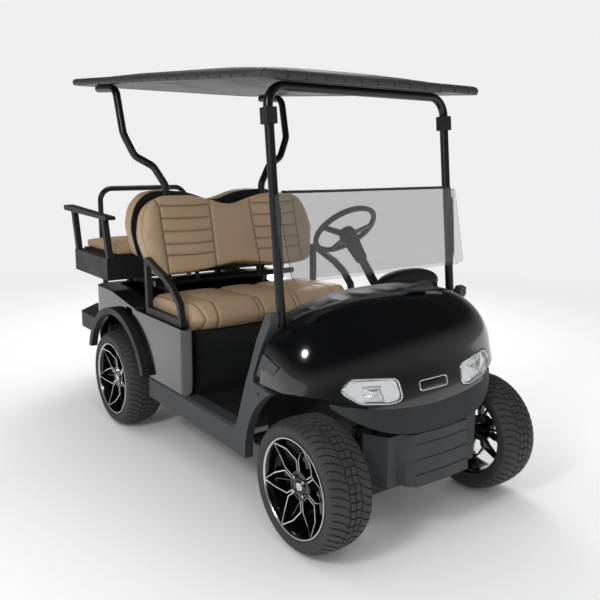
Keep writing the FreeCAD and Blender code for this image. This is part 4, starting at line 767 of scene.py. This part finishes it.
# %% [markdown]
# ## Seats
# Each cushion is a foam block in a sewn vinyl cover. The cover pulls the foam round at the edges,
# and a seam holds it down along its line, so that the vinyl swells between the seams. The pad
# starts as the CAD block, rounded off and a little smaller. Cloth with pressure then swells it
# while the seams and the base are held, and the cover's grooves are pressed in afterwards.

# %% Seat helpers
VOXEL = 0.010
SEAM_HOLD = 0.009
SEAM_REACH = 0.0075
# Width of the painted shade along the middle of each seam groove, in metres.
GROOVE_SHADE_REACH = 0.0032
SWELLING_FRAMES = 20
STUFFING = {"quality": 5, "mass": 0.3, "use_pressure": True, "uniform_pressure_force": 4.0,
            "tension_stiffness": 12, "compression_stiffness": 12, "bending_stiffness": 0.4,
            "vertex_group_mass": "held"}


def read(made):
    """Places and normals of a mesh, as two arrays."""
    count = len(made.data.vertices)
    points, normals = np.empty(count * 3), np.empty(count * 3)
    made.data.vertices.foreach_get("co", points)
    made.data.vertices.foreach_get("normal", normals)
    return points.reshape(-1, 3), normals.reshape(-1, 3)


def write(made, points):
    """Puts the places back into the mesh."""
    made.data.vertices.foreach_set("co", points.ravel())
    made.data.update()


def copy_of(node, name):
    """A loose copy of a CAD part, merged and facing outwards."""
    made = bpy.data.objects.new(name, nodes[node].data.copy())
    bpy.context.scene.collection.objects.link(made)
    outward(made)
    return made


def pad_blank(name, node, shape, box, shrink, rounds):
    """The CAD block as an even mesh, with its edges rounded off, shaped, and drawn in a little."""
    made = copy_of(node, name)
    made.data.materials.clear()
    made.data.materials.append(FINISH["tan_vinyl"])
    change(made, "REMESH", mode="VOXEL", voxel_size=VOXEL)
    change(made, "SMOOTH", factor=0.5, iterations=rounds)
    points, normals = read(made)
    write(made, shape(points, *box) - normals * shrink)
    return made


def stuff(pads):
    """Swells all pads at once with Cloth and keeps each move under the cap.

    A place is held fully on the base, by 0.85 on a seam, and hardly at all between them.
    """
    starts = {}
    for made, marks, base, cap in pads:
        points, normals = read(made)
        starts[made.name] = points
        on_seam = np.exp(-(marks(points, normals)[0] / SEAM_HOLD) ** 2) * 0.85
        weights = np.clip(np.maximum(on_seam, base(points, normals)), 0, 1)
        group = made.vertex_groups.new(name="held")
        for level in range(1, 11):
            chosen = np.nonzero(np.round(weights * 10).astype(int) == level)[0]
            group.add(chosen.tolist(), level / 10, "REPLACE")
        cloth = made.modifiers.new("stuffing", "CLOTH")
        for name, value in STUFFING.items():
            setattr(cloth.settings, name, value)
        cloth.settings.effector_weights.gravity = 0
        cloth.collision_settings.use_collision = False
        cloth.point_cache.frame_start = 1
        cloth.point_cache.frame_end = SWELLING_FRAMES
    for step in range(1, SWELLING_FRAMES + 1):
        bpy.context.scene.frame_set(step)
    graph = bpy.context.evaluated_depsgraph_get()
    for made, marks, base, cap in pads:
        swollen = bpy.data.meshes.new_from_object(made.evaluated_get(graph))
        places = np.empty(len(swollen.vertices) * 3)
        swollen.vertices.foreach_get("co", places)
        bpy.data.meshes.remove(swollen)
        made.modifiers.clear()
        made.vertex_groups.clear()
        move = places.reshape(-1, 3) - starts[made.name]
        length = np.linalg.norm(move, axis=1, keepdims=True)
        write(made, starts[made.name] + move * np.minimum(1, cap / np.maximum(length, 1e-9)))
        print(made.name, "swelled by up to", round(float(length.max()) * 1000, 1), "mm")
    bpy.context.scene.frame_set(1)


def sew(made, marks, low, high, body, node):
    """One subdivision, the seams' grooves with painted shade along them, and a limit to the space that
    the CAD block holds.
    """
    change(made, "SUBSURF", levels=1, render_levels=1)
    points, normals = read(made)
    near, depth = marks(points, normals)
    least, most = points.min(0), points.max(0)
    points = low + (points - least) / (most - least) * (high - low)
    points = points - normals * (depth * np.exp(-(near / SEAM_REACH) ** 2))[:, None]
    write(made, np.clip(points, low, high))
    # Painted shade along the middle of each pressed groove, up to 0.85, which the vinyl turns into a
    # darker colour.
    seam = made.data.attributes.new("seam", "FLOAT", "POINT")
    groove_shade = np.exp(-(near / GROOVE_SHADE_REACH) ** 2) * 0.85 * (depth > 0)
    seam.data.foreach_set("value", groove_shade.astype(np.float32))
    shade(made, 75)
    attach(made, body)
    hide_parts(node)


print("seat helpers ready")
# %% [markdown]
# ## Seams of the seats
# The backrest has a plain panel down its middle, a channelled panel on each side with five
# seams across, and a curved seam outboard of that. The bench carries the same lines forward and
# over its rounded front edge. Every seam is a distance in metres, and the nearest one counts.

# %% Seam lines
CHANNELS = np.array([1.228, 1.167, 1.104, 1.043, 0.989])
LEAN = math.radians(16)
SHELL_FOOT = (along(1300), 0.9)
BENCH_BEND = along(1120)


def shell_distance(points):
    """Distance in metres from the plane of the front backrest's shell, which leans back."""
    y, z = points[:, 1] - SHELL_FOOT[0], points[:, 2] - SHELL_FOOT[1]
    return np.abs(math.cos(LEAN) * y - math.sin(LEAN) * z)


def back_marks(face):
    """Seams of a backrest whose cover faces forwards (-1) or backwards (1)."""

    def marks(points, normals):
        x, z = np.abs(points[:, 0]), points[:, 2]
        outer = np.abs(x - 0.410 - 0.035 * np.clip((z - 1.19) / 0.1, 0, 1) ** 2)
        inner = np.abs(x - 0.136 + 0.016 * (z - 0.9) / 0.4)
        sag = 0.004 * np.sin((x[:, None] - 0.12) / 0.276 * np.pi)
        across = np.abs(z[:, None] - CHANNELS[None] + sag).min(1)
        near = np.minimum(outer, inner)
        near = np.where((x > 0.130) & (x < 0.408), np.minimum(near, across), near)
        facing = normals[:, 1] * face
        near = np.where(facing > 0.3, near, 1.0)
        depth = np.where(facing > 0.3, 0.0065, 0.0)
        if face < 0:
            piping = np.where(facing < 0.85, np.abs(shell_distance(points) - 0.030), 1.0)
            depth = np.where(piping < near, 0.003, depth)
            near = np.minimum(near, piping)
        return near, depth

    return marks


def bench_marks(points, normals):
    """Seams of the front bench: piping round each side and a pair of seams inboard of it."""
    x, y = np.abs(points[:, 0]), points[:, 1]
    ahead = np.clip((BENCH_BEND - y) / 0.215, 0, 1)
    piping = np.abs(x - 0.478 + 0.055 * ahead ** 2)
    outer, first, second = (np.abs(x - place) for place in (0.365, 0.100, 0.128))
    top = (normals[:, 2] > 0.25) | (normals[:, 1] < -0.45)
    near = np.minimum(np.minimum(outer, first), np.minimum(second, piping))
    depth = np.where(near == piping, 0.003, np.where(near == second, 0.002, 0.0055))
    return np.where(top, near, 1.0), np.where(top, depth, 0.0)


def rear_bench_marks(points, normals):
    """Seams of the rear cushion: one on each side and one across near its outer edge."""
    x, y = np.abs(points[:, 0]), points[:, 1]
    top = (normals[:, 2] > 0.3) | (normals[:, 1] > 0.5)
    rim = np.where(normals[:, 2] > 0.3, np.abs(y - along(2288)), 1.0)
    near = np.minimum(np.minimum(np.abs(x - 0.36), np.abs(x - 0.12)), rim)
    return np.where(top, near, 1.0), np.where(top, 0.0055, 0.0)


def bench_shape(points, low, high):
    """Rounds the bench's front corners in plan and rolls its front edge down, as power curves."""
    x, y, z = points.T
    ahead = np.clip((BENCH_BEND - y) / 0.219, 0, 1)
    aside = np.clip((np.abs(x) - 0.33) / 0.165, 0, 1)
    upper = np.clip((z - 0.69) / 0.11, 0, 1)
    over = np.clip((along(990) - y) / 0.089, 0, 1)
    lower = np.clip((0.73 - z) / 0.065, 0, 1)
    y_new = y + 0.055 * ahead * aside ** 2.5 + 0.018 * over * lower
    side = np.clip((np.abs(x) - 0.40) / 0.095, 0, 1)
    dip = 0.010 * np.exp(-((np.abs(x) - 0.115) / 0.03) ** 2)
    z_new = z - upper * (0.034 * over ** 2 + 0.014 * side ** 3 + dip)
    return np.stack([x, y_new, z_new], axis=-1)


def rear_bench_shape(points, low, high):
    """Lowers the far edges of the rear cushion's top by 8 mm, as a fourth power."""
    share = np.clip((points - (low + high) / 2) / ((high - low) / 2), -1.1, 1.1)
    fall = 0.008 * (share[:, 0] ** 4 + share[:, 1] ** 4) * np.clip(share[:, 2], 0, 1)
    return points - fall[:, None] * [0, 0, 1]


def back_shape(points, low, high):
    """Leaves a backrest's block as it is."""
    return points


def flat_base(limit):
    """Holds the underside."""
    return lambda points, normals: np.where(points[:, 2] < limit, 1.0, 0.0)


def back_base(face):
    """Holds the side that lies on the shell."""
    return lambda points, normals: np.where(normals[:, 1] * face < -0.6, 1.0, 0.0)


print("seam lines ready, with", len(CHANNELS), "channels")
# %% Make the seats
INSIDE_CAD = 0.0008
# Piece: node, body, seams, held side, shape, cap of the swelling, draw-in, rounds, width added
PADS = {
    "front_bench": ("front_seat_cushion", "front_seat", bench_marks, flat_base(0.69), bench_shape,
                    0.014, 0.005, 12, 0),
    "rear_bench": ("rear_seat_cushion", "rear_seat", rear_bench_marks, flat_base(0.94), rear_bench_shape,
                   0.009, 0.004, 8, 0),
    "front_back_pad": ("front_backrest", "cart_body", back_marks(-1), back_base(-1), back_shape,
                       0.014, 0.006, 9, 0.012),
    "rear_back_pad": ("rear_backrest", "cart_body", back_marks(1), back_base(1), back_shape,
                      0.014, 0.006, 9, 0),
}
seats = []
for name, (node, body, marks, base, shape, cap, shrink, rounds, wider) in PADS.items():
    low, high = (np.array(corner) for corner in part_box(node))
    made = pad_blank(name, node, shape, (low, high), shrink, rounds)
    room = INSIDE_CAD - np.array([wider, 0, 0])
    seats.append((made, marks, base, cap, low + room, high - room, body, node))
stuff([seat[:4] for seat in seats])
for made, marks, base, cap, low, high, body, node in seats:
    sew(made, marks, low, high, body, node)
print("seats", [len(seat[0].data.polygons) for seat in seats])

# %% [markdown]
# ## Trim on the cowl
# The nose carries a blank plate with round corners in a chrome frame, and in each lamp a bright
# reflector, a rim and a dark gap round it. All follow the cowl, so their outlines are laid on its
# own surface. A flat pod stands behind them on the strip across the cart.

# %% Plate and lamps
PLATE_HALF = (77, 19)
PLATE_HEIGHT = 624
LAMP_ROUNDING = 26
LAMP_HALF = np.array([125.0, 56.0])


def on_cowl(x, z, lift):
    """Points of the cowl's skin at places across and heights, in millimetres, raised by lift.

    Across, the skin shrinks towards its pivot by one factor, so the angle follows from a table
    of the middle section.
    """
    x, z, lift = np.broadcast_arrays(np.asarray(x, float), z, lift)
    angles = np.radians(np.linspace(-8, 90, 600))
    radius = curve_through(COWL_ANGLES, COWL_RADII, np.degrees(angles))
    roll = cowl_roll(x)
    angle = np.interp((z - PIVOT[1]) / roll, radius * np.sin(angles), angles)
    out = np.interp(angle, angles, radius) * roll + lift
    return at(x, PIVOT[0] - out * np.cos(angle), PIVOT[1] + out * np.sin(angle))


def squared(value, power):
    """A power that keeps the sign. A circle of such values is the boxier, the smaller the power."""
    return np.sign(value) * np.abs(value) ** power


def drawn_in(outline, inset):
    """A lamp's outline drawn in towards its middle by about inset."""
    middle = outline.mean(0)
    return middle + (outline - middle) * (1 - inset / LAMP_HALF)


turn = np.linspace(0, 2 * np.pi, 120, endpoint=False)
plate_x = PLATE_HALF[0] * squared(np.cos(turn), 0.22)
plate_z = PLATE_HALF[1] * squared(np.sin(turn), 0.3)
levels = [0.02, 0.5, 0.85, 0.98, 1.0, 0.9, 0.02]
lifts = [3.4, 3.2, 2.6, 1.8, 0.5, -2.0, -2.0]
plate = np.array([on_cowl(plate_x * level, PLATE_HEIGHT + plate_z * level, lift)
                  for level, lift in zip(levels, lifts)])
frame_path = on_cowl(plate_x, PLATE_HEIGHT + plate_z, 1.6)
piece("blank_plate", [sheet(plate, wrap_v=True, caps=True, flip=True),
                      bar(frame_path, ring(0.0026, 12), side=(0, -1, 0.3), closed=True, material=1)],
      "gloss_black", finishes=["gloss_black", "lamp_chrome"])
rims, optics = [], []
for side in (-1, 1):
    outline = rounded(LAMP, LAMP_ROUNDING, 9) * np.array([side, 1])
    for inset, lift, wire, material in ((8, 0.5, ring(0.0034, 12), 1), (1, -3.0, ring(0.0036, 10), 0)):
        path = on_cowl(*drawn_in(outline, inset).T, lift)
        rims.append(bar(path, wire, side=(0, -1, 0.2), closed=True, material=material))
    middle, inner = outline.mean(0), drawn_in(outline, 11)
    reach = np.linspace(0.02, 1, 30)[:, None]
    spot_x, spot_z = (middle[i] + (inner[:, i] - middle[i])[None] * reach for i in (0, 1))
    away = (spot_x - middle[0]) * side
    bowls = np.minimum(np.hypot(away + 62, spot_z - 628) / 52, np.hypot(away - 66, spot_z - 640) / 60)
    fine = 3.0 * (np.abs(np.sin(away / 4.4 * np.pi / 2)) + np.abs(np.sin(spot_z / 7)))
    coarse = 2.5 * np.abs(np.sin(away / 11) + 0.6 * np.sin(spot_z / 9))
    depth = 8 + 22 * (1 - np.clip(bowls, 0, 1) ** 2) + np.where(np.abs(away) < 34, fine, coarse)
    front, behind = on_cowl(spot_x, spot_z, -depth), on_cowl(spot_x, spot_z, -36.0)
    optics.append(sheet(np.concatenate([front, behind[::-1]]), wrap_v=True, caps=True))
reflectors = piece("lamp_optics", optics, "lamp_chrome", smooth=20)
outward(reflectors)
shade(reflectors, 20)
piece("lamp_rims", rims, "lamp_chrome", finishes=["black_plastic", "lamp_chrome"])
t = np.linspace(0, 1, 40)
swell = 0.0004 + 0.036 * t ** 0.7 * np.sqrt(np.clip(1 - t ** 6, 0, 1))
points, faces, kinds = lathe(np.stack([t * 165 * MM, swell], axis=-1), 48)
pod = moved((points * [1, 1, 0.85], faces, kinds), at(-5, 30, 972))
outward(piece("strip_pod", [pod], "grey_plastic"))
print("plate and lamps ready")

# %% [markdown]
# ## Roof
# The roof is one moulded skin, gently crowned, whose edge is rolled into a bead all round. Short
# curved grooves cross the bead about every nine centimetres, and show as a row of hooks from the
# side. The grid runs round the roof, with its columns gathered at the grooves.

# %% Roof surface
ROOF_HALF, ROOF_FRONT, ROOF_REAR = 600.0, 168.0, 2160.0
ROOF_MIDDLE = (ROOF_FRONT + ROOF_REAR) / 2
PLAN_RADIUS, GROW, BEAD = 95.0, 8.0, 20.0
HOOKS = 70
HOOK_SLANT = 14
HOOK_DEPTH = 5.0
SKIN = 6
CROWN_INSET = 58
EDGE_LOW, EDGE_RISE = 1778, 94
WIDE = 2 * (ROOF_HALF - PLAN_RADIUS)
LONG = ROOF_REAR - ROOF_FRONT - 2 * PLAN_RADIUS
BEND = np.pi / 2 * PLAN_RADIUS
STOPS = np.cumsum([0, WIDE, BEND, LONG, BEND, WIDE, BEND, LONG, BEND])
HUB_ACROSS = (ROOF_HALF - PLAN_RADIUS) * np.array([-1, 1, 1, 1, 1, -1, -1, -1, -1])
HUB_BACK = ROOF_MIDDLE + LONG / 2 * np.array([-1, -1, -1, 1, 1, 1, 1, -1, -1])
HEADING = np.pi / 2 * np.array([-1, -1, 0, 0, 1, 1, 2, 2, 3])


def roof_outline(place, inset):
    """Points of the roof's plan at distances along its edge, and drawn in by inset.

    The plan is a rectangle with round corners. At each stop, where a side or a corner ends, the
    corner's hub and the heading out from it are known, and both run evenly between stops.
    """
    place = np.mod(place, STOPS[-1])
    hub_x, hub_b, turn = (np.interp(place, STOPS, row) for row in (HUB_ACROSS, HUB_BACK, HEADING))
    return hub_x + (PLAN_RADIUS - inset) * np.cos(turn), hub_b + (PLAN_RADIUS - inset) * np.sin(turn)


def roof_share(b):
    """Share of the roof's length at places behind the front axle."""
    return (b - ROOF_FRONT) / (ROOF_REAR - ROOF_FRONT)


def roof_row(place, inset, drop=0.0, near=1.0):
    """A row of the crowned skin as (x, back, rise), lowered by drop.

    The crown falls to the sides as a cube and follows a spline along the roof. near draws the
    row in to the roof's middle.
    """
    x, b = roof_outline(place, inset)
    x, b = x * near, ROOF_MIDDLE + (b - ROOF_MIDDLE) * near
    share = np.clip(roof_share(b), 0, 1)
    rise = curve_through([0, 0.07, 0.3, 0.7, 0.93, 1], [4, 26, 56, 56, 26, 4], share)
    side = 1 - np.clip(np.abs(x) / ROOF_HALF, 0, 1) ** 3
    return x, b, 25.4 + np.minimum(rise, 56.3) * side - drop


def roof_skin():
    """The skin as rows round the roof, from the middle below, over the bead, to the middle above."""
    share = np.array([0.0, 0.025, 0.12, 0.145, 0.4, 0.7])
    sunk = np.tile([0, 1, 1, 0, 0, 0], HOOKS)
    place = (np.arange(HOOKS)[:, None] + share[None]).ravel() * STOPS[-1] / HOOKS
    rows = [roof_row(place, CROWN_INSET, SKIN, near) for near in (0.01, 0.1, 0.4, 0.7, 0.9, 1)]
    rows.append(roof_row(place, 30, SKIN))
    rows += [(*roof_outline(place, 6 - GROW), rise) for rise in (9, 0.2)]
    for angle in np.radians([-45, -30, -12, 6, 24, 42, 60, 76, 90]):
        inset = BEAD - BEAD * math.cos(angle) - GROW
        cut = HOOK_DEPTH * sunk * np.clip(1.3 * math.cos(angle), 0, 1)
        slanted = place + HOOK_SLANT * (1 - math.cos(angle))
        rise = 14 + BEAD * math.sin(angle) - cut * math.sin(angle)
        rows.append((*roof_outline(slanted, inset + cut * math.cos(angle)), rise))
    place = place + HOOK_SLANT
    rows += [roof_row(place, inset, drop) for inset, drop in ((20, 2), (26, 3), (34, 1), (46, 0))]
    rows += [roof_row(place, CROWN_INSET, 0, near)
             for near in (1, 0.95, 0.88, 0.78, 0.66, 0.52, 0.38, 0.24, 0.1, 0.01)]
    points = np.array([at(x, b, EDGE_LOW + EDGE_RISE * roof_share(b) + rise) for x, b, rise in rows])
    made = piece("roof_skin", [sheet(points, wrap_v=True, caps=True)], "black_roof", ["roof"])
    outward(made)
    shade(made, 38)
    return made


roof = roof_skin()
print("roof faces", len(roof.data.polygons))

# %% [markdown]
# ## Dash and small trim
# The dash is one moulding, and a round hood stands over its meters. Plugs with rounded edges cover
# the body's screws, a dull panel is let in on each side of the nose, and a dark wall closes the
# space between bumper and apron. They are small, so turned and extruded forms are enough.

# %% Dash and small trim
METER_BLOCK_TOP = 0.935


def dome(middle, half, power):
    """A superellipsoid: a ball whose sections are rounded boxes, the boxier, the smaller the power."""
    up = np.linspace(-np.pi / 2 + 0.02, np.pi / 2 - 0.02, 28)[:, None]
    around = np.linspace(0, 2 * np.pi, 56, endpoint=False)[None]
    level = squared(np.cos(up), power)
    x = middle[0] + half[0] * level * squared(np.cos(around), power)
    back = middle[1] + half[1] * level * squared(np.sin(around), power)
    return sheet(at(x, back, middle[2] + half[2] * squared(np.sin(up), power)), wrap_v=True, caps=True)


board = copy_of("dash", "dash_skin")
spots, _ = read(board)
meter_block = (np.abs(spots[:, 0] - 0.268) < 0.2) & (spots[:, 1] > along(195))
spots[meter_block & (spots[:, 2] > METER_BLOCK_TOP), 2] = METER_BLOCK_TOP
write(board, spots)
shade(board, 35)
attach(board, "cart_body")
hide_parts("dash")
hood = dome((262, 268, 935), (185, 62, 66), 0.9)
outward(piece("binnacle", [hood], "black_plastic"))
plug = lathe([(0.003, 0.0005), (0.0027, 0.005), (0.001, 0.0085), (-0.002, 0.0085), (-0.002, 0.0005)], 20)
plugs = [moved(moved(plug, mirror=side < 0), at(side * 560, back, height))
         for side in (-1, 1) for back, height in ((263, 564), (1291, 293))]
piece("body_studs", plugs, "black_plastic")
notch = [(211, 747), (108, 714), (169, 634), (257, 648)]
inserts = [prism(notch, "x", *sorted((side * 564, side * 572)), 9) for side in (-1, 1)]
outward(piece("side_inserts", inserts, "grey_plastic", finishes=["sill_plastic"]))
wall = prism([(-203, 345), (203, 345), (203, 520), (-203, 520)], "y", -92, -88)
outward(piece("liner_front", [wall], "black_plastic"))
print("dash and small trim ready")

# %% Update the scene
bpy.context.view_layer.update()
import json
